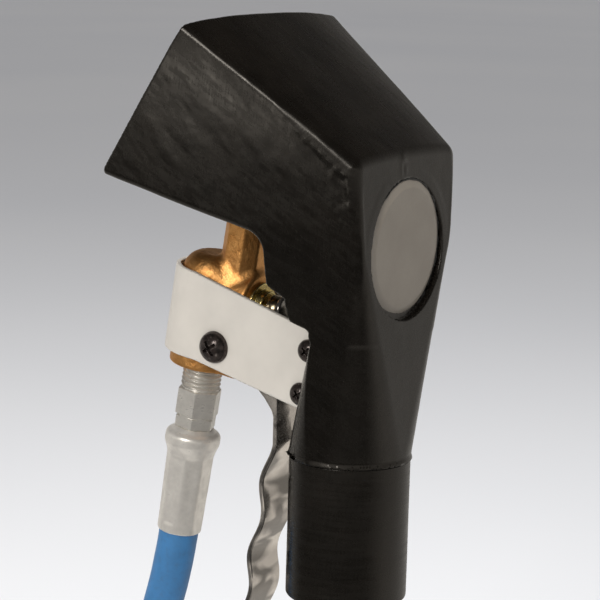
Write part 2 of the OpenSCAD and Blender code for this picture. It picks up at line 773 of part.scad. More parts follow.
module fitting_ferrule() {
    color([0.76, 0.75, 0.72]) in_valve_frame() translate([0, 0, neck_low - 0.05])
        ferrule(6.2, neck_low - ferrule_low - 0.1);
}

crimp_r = hose_d / 2 - 0.1;
hose_turn = hose_len / hose_bend * 180 / PI;
// Places children at the lower end of the hanging hose, in the valve's frame.
module at_hose_end() {
    in_valve_frame() translate([0, -hose_bend, ferrule_low]) rotate([-hose_turn, 0, 0])
        translate([0, hose_bend, 0]) children();
}

// The hanging run of the hose, seen as a bent rod of radius r.
module hose_run(r, sides) {
    in_valve_frame() translate([0, -hose_bend, ferrule_low]) rotate([0, 90, 0])
        rotate([0, 0, 90 - hose_turn]) rotate_extrude(angle = hose_turn, $fn = 240)
            translate([hose_bend, 0]) circle(r = r, $fn = sides);
}

// A crimped end of the hose, standing up from z = -1.
module hose_end(tuck) {
    translate([0, 0, -1]) ring(hose_bore / 2 + 0.1, crimp_r, tuck + 1);
}

module solution_hose() {
    tuck = ferrule_top - ferrule_low - 5.6;
    color([0.16, 0.42, 0.68]) {
        difference() {
            hose_run(hose_d / 2, fine);
            hose_run(hose_bore / 2, 64);
        }
        in_valve_frame() translate([0, 0, ferrule_low]) hose_end(tuck);
        at_hose_end() mirror([0, 0, 1]) hose_end(tuck);
    }
}

plug_hang = ferrule_top - ferrule_low - 0.4;
module plug_ferrule() {
    color([0.76, 0.75, 0.72]) at_hose_end() translate([0, 0, -plug_hang]) mirror([0, 0, 1])
        ferrule(6.2, plug_hang);
}

// Male quick-disconnect plug that snaps into a supply coupler.
plug_len = 30;
module quick_plug() {
    color([0.80, 0.62, 0.30]) at_hose_end() translate([0, 0, -plug_hang]) mirror([0, 0, 1]) difference() {
        union() {
            translate([0, 0, 2 - plug_hang]) cylinder(r = barb_r, h = plug_hang, $fn = 64);
            translate([0, 0, 0.05]) hex_prism(14.2, 7.5);
            rotate_extrude($fn = fine) polygon([
                [0, 7], [5.6, 7], [5.6, 12], [6.9, 13.2], [6.9, 16], [5.2, 17.6], [5.2, 20.2],
                [5.9, 21.4], [5.9, 23], [4.4, 23.2], [4.4, 25], [5.9, 25.2], [5.9, plug_len - 1],
                [5.0, plug_len], [0, plug_len]]);
        }
        translate([0, 0, -plug_hang]) cylinder(r = fitting_bore, h = plug_hang + plug_len + 1, $fn = 48);
    }
}

module plug_o_ring() {
    color([0.08, 0.08, 0.08]) at_hose_end() translate([0, 0, -plug_hang - 24.1])
        rotate_extrude($fn = fine) translate([5.24, 0]) circle(r = 0.8, $fn = 32);
}

head_shell();
back_cover();
divider_plate();
vacuum_tube();
window_lens();
window_seal();
strap();
strap_screws();
pivot_bolt();
pivot_nut();
pivot_spacers();
trigger_lever();
valve_body();
valve_end_plug();
valve_spring();
valve_poppet();
poppet_washer();
stem_o_ring();
packing_nut();
plunger_button();
nozzle_gasket();
nozzle_elbow();
nozzle_strainer();
spray_tip();
inlet_fitting();
fitting_ferrule();
solution_hose();
plug_ferrule();
quick_plug();
plug_o_ring();
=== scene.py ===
import math

import bpy
import numpy as np
from mathutils import Matrix, Vector


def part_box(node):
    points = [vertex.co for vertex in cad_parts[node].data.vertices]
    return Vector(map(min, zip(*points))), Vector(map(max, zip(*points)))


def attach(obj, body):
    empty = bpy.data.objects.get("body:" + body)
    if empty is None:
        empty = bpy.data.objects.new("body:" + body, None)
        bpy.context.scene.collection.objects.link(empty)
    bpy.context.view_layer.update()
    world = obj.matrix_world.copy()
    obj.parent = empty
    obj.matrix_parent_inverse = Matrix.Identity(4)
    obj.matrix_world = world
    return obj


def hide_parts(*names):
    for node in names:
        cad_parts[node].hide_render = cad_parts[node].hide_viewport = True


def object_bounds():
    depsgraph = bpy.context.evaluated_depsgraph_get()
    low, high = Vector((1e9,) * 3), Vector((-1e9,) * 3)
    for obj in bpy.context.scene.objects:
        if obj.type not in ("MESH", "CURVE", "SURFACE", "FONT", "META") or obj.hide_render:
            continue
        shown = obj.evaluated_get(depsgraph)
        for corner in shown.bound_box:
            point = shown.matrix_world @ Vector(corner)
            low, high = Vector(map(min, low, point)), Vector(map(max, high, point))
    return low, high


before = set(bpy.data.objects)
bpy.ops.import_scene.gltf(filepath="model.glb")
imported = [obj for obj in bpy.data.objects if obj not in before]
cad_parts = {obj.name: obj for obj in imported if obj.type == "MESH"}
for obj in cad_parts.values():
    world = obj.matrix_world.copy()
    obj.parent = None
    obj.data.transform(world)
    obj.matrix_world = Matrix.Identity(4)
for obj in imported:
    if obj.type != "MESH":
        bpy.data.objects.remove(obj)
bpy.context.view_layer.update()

MM = 0.001

# ---- fields
# Shapes are signed distances in millimetres, negative inside, on numpy arrays.


def rmax(a, b, r=0.0):
    """Intersection whose outer edges are rounded with radius r."""
    return np.minimum(np.maximum(a, b), -r) + np.hypot(np.maximum(a + r, 0), np.maximum(b + r, 0))


def rmin(a, b, r=0.0):
    """Union whose inner corners are filleted with radius r."""
    return -rmax(-a, -b, r)


def slab(v, lo, hi):
    """Between two values."""
    return np.maximum(lo - v, v - hi)


def rod(rho, v, radius, lo, hi, edge=0.0):
    """Cylinder between two heights, its edges rounded."""
    return rmax(rho - radius, slab(v, lo, hi), edge)


def smooth(v, lo, hi):
    """0 below lo and 1 above hi, with a soft step between."""
    t = np.clip((v - lo) / (hi - lo), 0, 1)
    return t * t * (3 - 2 * t)


class Outline:
    """Closed outline of (u, v, corner radius) corners with exact lines and arcs."""

    def __init__(self, corners, least=0.06):
        pts = [np.array(c[:2], float) for c in corners]
        rad = [max(least, c[2] if len(c) > 2 else least) for c in corners]
        area = sum(a[0] * b[1] - a[1] * b[0] for a, b in zip(pts, pts[1:] + pts[:1]))
        if area < 0:
            pts, rad = pts[::-1], rad[::-1]
        n = len(pts)
        self.arcs, ends = [], []
        for i in range(n):
            p, a, b = pts[i], pts[i - 1], pts[(i + 1) % n]
            u, v = (a - p) / np.linalg.norm(a - p), (b - p) / np.linalg.norm(b - p)
            half = math.acos(max(-1, min(1, u @ v))) / 2
            reach = rad[i] / math.tan(half)
            mid = (u + v) / np.linalg.norm(u + v)
            centre = p + mid * rad[i] / math.sin(half)
            side = 1 if (p - a)[0] * (b - p)[1] - (p - a)[1] * (b - p)[0] > 0 else -1
            self.arcs.append((centre, rad[i], -mid, math.pi / 2 - half, side))
            ends.append((p + u * reach, p + v * reach))
        self.lines = []
        for i in range(n):
            a, b = ends[i][1], ends[(i + 1) % n][0]
            length = np.linalg.norm(b - a)
            self.lines.append((a, (b - a) / max(length, 1e-9), length))

    def __call__(self, u, v):
        u, v = np.broadcast_arrays(u, v)
        best = np.full(u.shape, 1e9)
        out = best.copy()
        for a, t, length in self.lines:
            du, dv = u - a[0], v - a[1]
            along = np.clip(du * t[0] + dv * t[1], 0, length)
            d = np.hypot(du - along * t[0], dv - along * t[1])
            out = np.where(d < best, np.where(t[0] * dv - t[1] * du > 0, -d, d), out)
            best = np.minimum(best, d)
        for c, r, mid, spread, side in self.arcs:
            du, dv = u - c[0], v - c[1]
            rho = np.hypot(du, dv)
            inside = du * mid[0] + dv * mid[1] >= rho * math.cos(spread)
            d = np.abs(rho - r)
            hit = inside & (d < best)
            out = np.where(hit, side * (rho - r), out)
            best = np.where(hit, d, best)
        return out

    def points(self, spacing=None, turn=12.0):
        """Points and outward normals along the outline."""
        pts, nor = [], []
        for i, (c, r, mid, spread, side) in enumerate(self.arcs):
            steps = max(1, int(math.degrees(2 * spread) / turn + 0.9)) if r > 0.061 else 1
            m = math.atan2(mid[1], mid[0])
            for k in range(steps + 1):
                a = m + side * spread * (2 * k / steps - 1)
                d = np.array([math.cos(a), math.sin(a)])
                pts.append(c + r * d)
                nor.append(side * d)
            a, t, length = self.lines[i]
            if spacing and length > spacing:
                cuts = int(length / spacing)
                for k in range(1, cuts + 1):
                    pts.append(a + t * length * k / (cuts + 1))
                    nor.append(np.array([t[1], -t[0]]))
        return np.array(pts), np.array(nor)


def surface_nets(field, lo, hi, step):
    """Quads round the zero level of a field, one vertex to a cell."""
    axes = [np.arange(a, b + step, step) for a, b in zip(lo, hi)]
    grid = np.meshgrid(*axes, indexing="ij", sparse=True)
    v = np.array(np.broadcast_to(field(*grid), [len(a) for a in axes]), np.float32)
    inside = v < 0
    count = np.zeros([n - 1 for n in v.shape], np.int8)
    corners = [(i, j, k) for i in (0, 1) for j in (0, 1) for k in (0, 1)]
    for i, j, k in corners:
        count += inside[i:v.shape[0] - 1 + i, j:v.shape[1] - 1 + j, k:v.shape[2] - 1 + k]
    cells = np.argwhere((count > 0) & (count < 8))
    value = {c: v[tuple((cells + c).T)] for c in corners}
    total, hits = np.zeros((len(cells), 3)), np.zeros(len(cells))
    for c in corners:
        for axis in range(3):
            if c[axis]:
                continue
            e = tuple(1 if a == axis else c[a] for a in range(3))
            a, b = value[c], value[e]
            cross = (a < 0) != (b < 0)
            t = np.where(cross, a / np.where(cross, a - b, 1), 0)
            p = np.array(c, float) + np.zeros((len(cells), 3))
            p[:, axis] = t
            total += np.where(cross[:, None], p, 0)
            hits += cross
    verts = (cells + total / hits[:, None]) * step + np.array(lo)
    index = np.full(count.shape, -1, np.int64)
    index[tuple(cells.T)] = np.arange(len(cells))
    quads = []
    for axis in range(3):
        b, c = (axis + 1) % 3, (axis + 2) % 3
        first = [slice(None)] * 3
        second = [slice(None)] * 3
        first[axis], second[axis] = slice(0, -1), slice(1, None)
        s0, s1 = inside[tuple(first)], inside[tuple(second)]
        at = np.argwhere(s0 != s1)
        ok = (at[:, b] > 0) & (at[:, c] > 0) & (at[:, b] < v.shape[b] - 1) & (at[:, c] < v.shape[c] - 1)
        at = at[ok]
        out = s0[tuple(at.T)]
        ring = []
        for ob, oc in ((-1, -1), (0, -1), (0, 0), (-1, 0)):
            q = at.copy()
            q[:, b] += ob
            q[:, c] += oc
            ring.append(index[tuple(q.T)])
        ring = np.array(ring).T
        quads.append(np.where(out[:, None], ring, ring[:, ::-1]))
    return verts, np.concatenate(quads)


def gradient(field, p, h):
    """Slope of a field at points, measured over a distance h each way."""
    g = np.empty_like(p)
    for axis in range(3):
        d = np.zeros(3)
        d[axis] = h
        g[:, axis] = (field(*(p + d).T) - field(*(p - d).T)) / (2 * h)
    return g


def settle(field, p, step, rounds=3):
    """Moves vertices onto the zero level of a field."""
    for _ in range(rounds):
        g = gradient(field, p, 0.02)
        f = field(*p.T)
        move = f[:, None] * g / np.maximum((g * g).sum(1), 0.05)[:, None]
        size = np.linalg.norm(move, axis=1)[:, None]
        p = p - move * np.minimum(1, step / np.maximum(size, 1e-9))
    return p


def relax(p, quads, amount=0.6):
    """One pass of smoothing, which evens out the mesh before it settles."""
    i = np.concatenate([quads[:, k] for k in range(4)] * 2)
    j = np.concatenate([quads[:, (k + s) % 4] for s in (1, 3) for k in range(4)])
    total = np.stack([np.bincount(i, p[j, c], len(p)) for c in range(3)], 1)
    return p + amount * (total / np.maximum(np.bincount(i, minlength=len(p)), 1)[:, None] - p)


def unit(n):
    return n / np.maximum(np.linalg.norm(n, axis=1), 1e-9)[:, None]


def on_fold(p, lo, step, first, second):
    """Which vertices lie in a cell that the edge between two surfaces passes through."""
    near = np.flatnonzero(np.abs(second(*p.T)) < 2 * step)
    base = np.floor((p[near] - lo) / step) * step + lo
    signs = 0
    for corner in np.ndindex(2, 2, 2):
        q = (base + np.array(corner) * step).T
        signs = signs + np.array([first(*q) < 0, second(*q) < 0]).astype(int)
    hit = np.zeros(len(p), bool)
    hit[near[((signs > 0) & (signs < 8)).all(0)]] = True
    return hit


def solid(field, lo, hi, step, detail=None, fold=None):
    """Mesh of a field: vertices, quads and normals. detail(p) raises the surface.

    fold is a skin and a cut through it, whose shared edge is kept sharp and shaded as skin.
    """
    lo = np.array(lo, float)
    p, quads = surface_nets(field, lo, hi, step)
    sharp = on_fold(p, lo, step, *fold) if fold else np.zeros(len(p), bool)

    def land(p):
        p = settle(field, p, step, 2)
        for _ in range(4 if fold else 0):
            for side in fold:
                p[sharp] = settle(side, p[sharp], step, 1)
        return p

    for _ in range(2):
        p = land(relax(p, quads))
    n = unit(gradient(field, p, 0.03))
    if fold:
        n[sharp] = unit(gradient(fold[0], p[sharp], 0.03))
    if detail is not None:
        def raised(skin):
            return lambda x, y, z: skin(x, y, z) - detail(np.stack([x, y, z], 1))

        p = p + n * detail(p)[:, None]
        n = unit(gradient(raised(field), p, 0.12))
        if fold:
            n[sharp] = unit(gradient(raised(fold[0]), p[sharp], 0.12))
    return p, quads, n


# ---- noise

def lattice(i, seed):
    """A repeatable random value between -1 and 1 at each whole-number point."""
    x, y, z = np.moveaxis(i, -1, 0)
    h = (x * 374761393 + y * 668265263 + z * 1440662683 + seed * 974634777) & 0xFFFFFFFF
    h = ((h ^ (h >> 13)) * 1274126177) & 0xFFFFFFFF
    return (h ^ (h >> 16)) / 2.0 ** 31 - 1


def noise(p, scale, seed=0):
    """Smooth value noise between -1 and 1; scale is its grain in mm, a number or one per axis."""
    q = np.asarray(p, float) / np.asarray(scale, float)
    i = np.floor(q).astype(np.int64)
    f = q - i
    w = f * f * f * (f * (6 * f - 15) + 10)
    out = 0
    for a in (0, 1):
        for b in (0, 1):
            for c in (0, 1):
                k = (w[..., 0] if a else 1 - w[..., 0]) * (w[..., 1] if b else 1 - w[..., 1])
                k = k * (w[..., 2] if c else 1 - w[..., 2])
                out = out + k * lattice(i + np.array([a, b, c]), seed)
    return out


def fractal(p, scale, octaves, seed):
    """Noise with finer and weaker layers added."""
    s = np.asarray(scale, float)
    return sum(noise(p, s / 2 ** k, seed + k) / 2 ** k for k in range(octaves))


# ---- making pieces

def round_the_clock(steps):
    """Angles that divide a full turn evenly."""
    return np.arange(steps) * 2 * math.pi / steps


def ring_quads(rows, columns):
    """Quads of a grid of vertices that closes on itself both ways."""
    i, j = np.meshgrid(np.arange(rows), np.arange(columns), indexing="ij")
    i2, j2 = (i + 1) % rows, (j + 1) % columns
    corners = [i * columns + j, i2 * columns + j, i2 * columns + j2, i * columns + j2]
    return np.stack(corners, 2).reshape(-1, 4)


def turned(outline, sides=128, spacing=None):
    """Solid of revolution about Z from a closed (radius, z) outline clear of the axis."""
    pts, nor = outline.points(spacing, 10)
    a = round_the_clock(sides)
    c, s = np.cos(a)[:, None], np.sin(a)[:, None]
    v = np.stack([pts[:, 0] * c, pts[:, 0] * s, pts[:, 1] + 0 * c], 2).reshape(-1, 3)
    n = np.stack([nor[:, 0] * c, nor[:, 0] * s, nor[:, 1] + 0 * c], 2).reshape(-1, 3)
    return v, ring_quads(sides, len(pts)), n


def band(inner, outer, low, high, inner_edge, outer_edge):
    """Outline of a plain ring between two radii, with its edges rounded."""
    return Outline([(inner, low, inner_edge), (outer, low, outer_edge), (outer, high, outer_edge),
                    (inner, high, inner_edge)])


def placed_in_scene(name, data):
    obj = bpy.data.objects.new(name, data)
    bpy.context.scene.collection.objects.link(obj)
    return obj


def piece(name, made, material, node, body="tool"):
    """A Blender object from (vertices in mm, faces, normals) that stands in for a CAD node."""
    v, faces, n = made
    mesh = bpy.data.meshes.new(name)
    mesh.from_pydata((v * MM).tolist(), [], faces.tolist())
    mesh.update()
    mesh.shade_smooth()
    mesh.normals_split_custom_set_from_vertices(n.tolist())
    mesh.materials.append(material)
    obj = placed_in_scene(name, mesh)
    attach(obj, body)
    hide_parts(node)


def joined(parts):
    """Several (vertices, faces, normals) as one."""
    v, f, n, base = [], [], [], 0
    for pv, pf, pn in parts:
        v.append(pv)
        f.append(pf + base)
        n.append(pn)
        base += len(pv)
    return np.concatenate(v), np.concatenate(f), np.concatenate(n)


def placed(made, matrix):
    """(vertices, faces, normals) moved by a 4x4 matrix that keeps sizes and may mirror."""
    v, f, n = made
    m = np.array(matrix, float)
    if np.linalg.det(m[:3, :3]) < 0:
        f = f[:, ::-1]
    return v @ m[:3, :3].T + m[:3, 3], f, n @ m[:3, :3].T


# ---- shape values

TUBE_R, TUBE_LEN, TUBE_BORE = 19.05, 44.7, 16.55
COLLAR_R, COLLAR_Z, DUCT_R = 19.55, 46.0, 19.25
WALL, MOUTH_W, CROWN, TAPER = 3.0, 89.2, 2.9, 0.2084
LIP = np.array([-36.6, 178.8])
TILT = math.radians(31.6)
MOUTH_OUT = np.array([-math.cos(TILT), math.sin(TILT)])
MOUTH_UP = np.array([math.sin(TILT), math.cos(TILT)])
CHIN = LIP - 54.8 * MOUTH_UP
SHOULDER = np.array([17.4, 140.2])
TOP_LEN = float(np.linalg.norm(LIP - SHOULDER))
TOP_DIR = (LIP - SHOULDER) / TOP_LEN
TOP_OUT = np.array([TOP_DIR[1], -TOP_DIR[0]])
LEAN = 0.0323
JOINT_DROP, COVER_GAP, FLANK_BLEND = 4.0, 0.004, 2.2
DUCT_Z, SQUARE_Z, DUCT_FRONT = 86.0, 114.0, -0.5
WINDOW_Z, WINDOW_R, LENS_R, LENS_RISE = 112.0, 21.7, 20.9, 0.45
LENS_FACE, BEVEL_WIDE, BEVEL_DEEP = -0.5, 2.4, 0.95
PORT_R, SPIGOT_HOLE, SCREW_HOLE, PAD_R, LEG_HOLE, BOSS_HALF = 19.1, 17.3, 2.02, 9.5, 5.15, 11.9

VALVE_AT, LEG_Y, LEG_TOP = np.array([-52.2, 91.4]), 8.9, 33.2
VALVE_LEAN = math.radians(8.6)
PIVOT = np.array([-42.9, 76.1])
STRAP_X, STRAP_T = 13.5, 1.5
STRAP_SCREWS = ((-8.0, 79.3), (-10.5, 65.4))

in_valve = Matrix.Translation((0, *VALVE_AT)) @ Matrix.Rotation(-VALVE_LEAN, 4, "X")
VALVE_UP = np.array([math.sin(VALVE_LEAN), math.cos(VALVE_LEAN)])
VALVE_BACK = np.array([math.cos(VALVE_LEAN), -math.sin(VALVE_LEAN)])


def back_y(z):
    """Back face at height z."""
    return SHOULDER[0] + (SHOULDER[1] - z) * LEAN


def half_w(y, z):
    """Half width of the flared head."""
    return MOUTH_W / 2 + TAPER * ((y - LIP[0]) * MOUTH_OUT[0] + (z - LIP[1]) * MOUTH_OUT[1])


def valve_yz(y, z):
    """Position in the valve's own frame."""
    v, w = y - VALVE_AT[0], z - VALVE_AT[1]
    return v * VALVE_BACK[0] + w * VALVE_BACK[1], v * VALVE_UP[0] + w * VALVE_UP[1]


# ---- head

def reach_out(p, out, up=0.0):
    """A point moved out of the mouth and up off the top face."""
    q = p + out * MOUTH_OUT + up * TOP_OUT
    return (q[0], q[1])


PROFILE = Outline([
    reach_out(LIP, 14, 16), (SHOULDER[0] - 16 * LEAN, SHOULDER[1] + 16),
    (back_y(DUCT_Z), DUCT_Z, 0.1), (DUCT_FRONT, DUCT_Z, 0.1), (DUCT_FRONT, 88.2, 1.0),
    (-7, 90.6, 1.5), (-8.1, 97.9, 2), (-13.4, 101.2, 2), (-13.8, 116.5, 7), (-40, 124.2, 60),
    reach_out(CHIN, 0) + (0.5,), reach_out(CHIN + 0.25 * MOUTH_UP, 14)])
BOSS = Outline([
    (-15.6, 63.6, 1.2), (-15.6, 83, 1.5), (-12.6, 86.4, 1.5), (6, 89, 1), (6, 62, 1), (-8, 58, 1)])


def four_disks(x, y, xf, yf, rf, xb, yb, rb):
    """Distance to the hull of mirrored front and back discs, in a section."""
    x = np.abs(x)
    dx, dy = xb - xf, yb - yf
    d2 = np.maximum(dx * dx + dy * dy, 1e-6)
    k = (rf - rb) / d2
    s = np.sqrt(np.maximum(d2 - (rf - rb) ** 2, 0)) / d2
    nx, ny = dx * k + dy * s, dy * k - dx * s
    fx, fy, bx, by = x - xf, y - yf, x - xb, y - yb
    d = np.maximum(nx * fx + ny * fy - rf, np.maximum(-fy - rf, by - rb))
    front = (fx > 0) & (nx * fy - ny * fx < 0)
    back = (bx > 0) & (nx * by - ny * bx > 0)
    d = np.where(front, np.maximum(d, np.hypot(fx, fy) - rf), d)
    return np.where(back, np.maximum(d, np.hypot(bx, by) - rb), d)


def duct_half(y):
    """Half width of the duct's top, just inside the head."""
    return half_w(y, DUCT_Z) - 0.1


def duct_section(x, y, z):
    """Duct from the round collar to a rounded rectangle, very slightly hollow on the way."""
    t = np.clip((z - COLLAR_Z) / (DUCT_Z - COLLAR_Z), 0, 1)
    t = t - 0.012 * np.sin(math.pi * t)
    y1 = back_y(DUCT_Z)
    wf, wb = duct_half(DUCT_FRONT), duct_half(y1)
    rf, rb = 5.0, 10.4
    return four_disks(x, y, (wf - rf) * t, (DUCT_FRONT + rf) * t, DUCT_R + (rf - DUCT_R) * t,
                      (wb - rb) * t, (y1 - rb) * t, DUCT_R + (rb - DUCT_R) * t)


def envelope(x, y, z):
    """Round at the collar, nearly square at the back corners from SQUARE_Z up."""
    t = np.clip((z - COLLAR_Z) / (SQUARE_Z - COLLAR_Z), 0, 1)
    r, y1 = 1.8, back_y(SQUARE_Z)
    wf, wb = half_w(-60, SQUARE_Z) + 0.05, half_w(y1, SQUARE_Z) + 0.05
    d = four_disks(x, y, (DUCT_R - r) + (wf - DUCT_R) * t, -60 + 0 * t, r + 0 * t,
                   (wb - r) * t, (y1 + 0.05 - r) * t, DUCT_R + (r - DUCT_R) * t)
    above = np.maximum(z - SQUARE_Z, 0)
    return d - 0.14 * above - 0.004 * above ** 2


def flank(y, z):
    """Half width where the sides of the head turn smoothly into the sides of the duct."""
    t = (z - COLLAR_Z) / (DUCT_Z - COLLAR_Z)
    head, duct = half_w(y, z), DUCT_R + (duct_half(y) - DUCT_R) * t
    return np.minimum(head, duct) - np.maximum(FLANK_BLEND - np.abs(head - duct), 0) ** 2 / (4 * FLANK_BLEND)


def top_height(x, y, z):
    """Crown of the top face: nearly flat in the middle, dropping to nothing at the creases."""
    half = np.maximum(half_w(y, z), 1)
    crown = CROWN * (half / (MOUTH_W / 2)) ** 2
    return crown * (1 - np.minimum(np.abs(x) / half, 1.1) ** 2.8)


def crease_r(y, z):
    """Radius of the crease between top and side, larger near the shoulder."""
    near = np.clip(1 - np.hypot(y - SHOULDER[0], z - SHOULDER[1] - 2) / 30, 0, 1)
    return 1.9 + 1.1 * near * near


def head_body(x, y, z, d, profile):
    """Flared head moved in by d, its mouth left open-ended."""
    top = (y - LIP[0]) * TOP_OUT[0] + (z - LIP[1]) * TOP_OUT[1] - top_height(x, y, z)
    near = np.clip(1 + top / 16, 0, 1.1)
    side = (np.abs(x) - half_w(y, z) + 0.9 * near * near) / math.hypot(1, TAPER)
    r = crease_r(y, z)
    body = rmax(profile + d, top + d, np.maximum(1.8 - d, 0.8))
    return rmax(body, side + d, np.maximum(r - d, 0.8))


def window_frame(x, y, z):
    """Distance from the window's axis, and height above the back face."""
    n = 1 / math.hypot(1, LEAN)
    v, w = y - back_y(WINDOW_Z), z - WINDOW_Z
    return np.hypot(x, (w - LEAN * v) * n), (v + LEAN * w) * n


def head_field(x, y, z):
    profile = PROFILE(y, z)
    duct, env = duct_section(x, y, z), envelope(x, y, z)
    lower = rmax(duct, slab(z, COLLAR_Z - 0.6, 89.5), 0.3)
    outer = rmax(rmin(head_body(x, y, z, 0, profile), lower, 2.2), env, 0.4)
    mouth = (y - LIP[0]) * MOUTH_OUT[0] + (z - LIP[1]) * MOUTH_OUT[1]
    outer = rmax(outer, mouth, 0.8)
    outer = np.maximum(outer, (np.abs(x) - flank(y, z)) / math.hypot(1, TAPER))
    rho = np.hypot(x, y)
    bevel = 0.34 * np.maximum(z - TUBE_LEN - 0.55, 0)
    collar = rmax(rho - COLLAR_R + bevel, slab(z, TUBE_LEN, COLLAR_Z + 0.3), 0.28)
    outer = rmin(outer, collar, 0.35)
    boss = rmax(np.abs(x) - BOSS_HALF, BOSS(y, z), 0.6)
    outer = rmin(outer, boss, 1.3)
    inner = rmin(head_body(x, y, z, WALL, profile), rmax(duct + WALL, slab(z, 40, 96), 0.5), 2.0)
    inner = rmax(inner, env + WALL, 1.0)
    inner = rmin(inner, rmax(rho - SPIGOT_HOLE, z - 48.2), 0.2)
    f = rmax(outer, -inner, 0.7)
    yl, zl = valve_yz(y, z)
    pad = np.hypot(x, yl - LEG_Y)
    f = rmin(f, rod(pad, zl, PAD_R, 33.85, 38.4, 0.5), 0.8)
    f = rmax(f, -rod(pad, zl, LEG_HOLE, 25, 42), 0.25)
    for sy, sz in STRAP_SCREWS:
        hole = rmax(np.hypot(y - sy, z - sz) - SCREW_HOLE, 2.8 - np.abs(x), 0.1)
        f = rmax(f, -hole, 0.1)
    wr, wh = window_frame(x, y, z)
    recess = rmin(rmax(wr - WINDOW_R, -2.4 - wh, 0.3), rmax(wr - PORT_R, -9 - wh), 0.2)
    return rmax(f, -recess, 0.4)


def cover_field(x, y, z):
    """Negative in the cover, whose joint leaves the crease and runs below it to the shoulder."""
    along = ((LIP[0] - y) * TOP_DIR[0] + (LIP[1] - z) * TOP_DIR[1]) / TOP_LEN
    low = 0.9 + JOINT_DROP * smooth(along, 0.3, 1.05)
    top = (y - LIP[0]) * TOP_OUT[0] + (z - LIP[1]) * TOP_OUT[1] + low
    back = (y - back_y(z)) + 3.1
    return np.maximum(np.minimum(-top, -back), DUCT_Z - z) + 0 * x


def shell_cut(x, y, z):
    return COVER_GAP - cover_field(x, y, z)


def cover_cut(x, y, z):
    return COVER_GAP + cover_field(x, y, z)


def shell_field(x, y, z):
    return np.maximum(head_field(x, y, z), shell_cut(x, y, z))


def back_cover_field(x, y, z):
    return np.maximum(head_field(x, y, z), cover_cut(x, y, z))


def head_detail(p):
    """Ripples from hand sanding, the bonded joint's uneven bead, and smears round the window."""
    x, y, z = p.T
    side = smooth(np.abs(x) / np.maximum(half_w(y, z), 1), 0.9, 0.97)
    along = y * 0.52 - z * 0.85
    across = y * 0.85 + z * 0.52
    q = np.stack([x * 0.3, along, across], 1)
    h = 0.13 * side * noise(q, (40, 44, 30), 2) + 0.05 * side * noise(q, (9, 18, 4.6), 3)
    h += 0.022 * side * fractal(q, (5, 10, 2.6), 2, 5)
    h += 0.02 * fractal(p, 6.0, 2, 8)
    joint = cover_field(x, y, z)
    bead = 0.8 + 0.5 * noise(p, 7.0, 11) + 0.35 * noise(p, 2.2, 12)
    grow = smooth(y, -24, 10) * smooth(z, DUCT_Z + 1, DUCT_Z + 9)
    edge = side * np.exp(-((joint - 0.3) / 1.1) ** 2) * np.clip(bead, 0, 2) * (0.01 + 0.22 * grow)
    step_down = 0.16 * side * grow * (1 - smooth(joint, -0.8, 0.9)) * smooth(joint, -6, -3)
    lump = np.exp(-(((y - 11.5) / 3.6) ** 2 + ((z - 137.6) / 2.2) ** 2)) * side
    h += edge + step_down + 0.12 * lump * (0.8 + 0.8 * noise(p, 2.0, 14))
    rough = np.exp(-((y - 12) / 4.5) ** 2) * smooth(z, 86, 100) * (1 - smooth(z, 128, 140)) * side
    h += 0.05 * rough * np.clip(fractal(p, 3.0, 2, 17), -0.2, 1)
    wr, wh = window_frame(x, y, z)
    flat = np.exp(-(wh / 1.5) ** 2)
    h += 0.10 * flat * (1 - smooth(wr, 24.2, 26.5)) * (0.8 + 0.5 * noise(p, 9, 19))
    above = np.exp(-((x - 3) / 2.2) ** 2) * smooth(z, 133, 136) * (1 - smooth(z, 140, 144))
    h += 0.16 * flat * above * (0.7 + noise(p, 1.5, 23))
    nick = np.exp(-(((x + 15) / 1.3) ** 2 + ((y - 12.2) / 1.6) ** 2 + ((z - 46.2) / 0.9) ** 2))
    return h - 0.35 * nick


# ---- valve and fittings, in its frame

HEX_TURN = math.radians(-8)
FITTING_HEX, THREAD_R, THREAD_PITCH, THREAD_DEPTH = (12.8, -41.8, -33.0), 6.55, 1.41, 1.05
BARB_R, BARB_BORE = 3.18, 2.1
NECK_LOW, FERRULE_LOW = -46.0, -82.2
HOSE_R, HOSE_HELD_R, HOSE_BORE, HOSE_BEND, HOSE_LEN = 6.55, 6.44, 3.2, 190.0, 88.0
BOLT_Y, BOLT_Z = valve_yz(*PIVOT)


def prism(x, y, sides, af, r, turn=0.0):
    """Section of a regular prism with rounded edges."""
    d = None
    for k in range(sides // 2):
        a = turn + math.pi * 2 * k / sides
        face = np.abs(x * math.cos(a) + y * math.sin(a)) - af / 2
        d = face if d is None else rmax(d, face, r)
    return d


def both_sides(corners):
    """Outline from its right half, whose corners run from one end of the axis to the other."""
    return Outline(corners + [(-c[0], *c[1:]) for c in corners[::-1]])


FOOT_Z, CHAMBER_R, BONNET_R, LUG_HALF = -24.5, 11.3, 10, 6.3
INLET_BORE, NUT_BORE, PLUG_BORE, NOZZLE_BORE, WATERWAY, BOLT_BORE = 6.6, 5.62, 6.4, 4.95, 3.4, 2.55
CHAMBER = both_sides([(CHAMBER_R, FOOT_Z, 0.7), (CHAMBER_R, 12.7, 6.6)])
BONNET = both_sides([(BONNET_R, -6), (BONNET_R, 17, 1.3)])


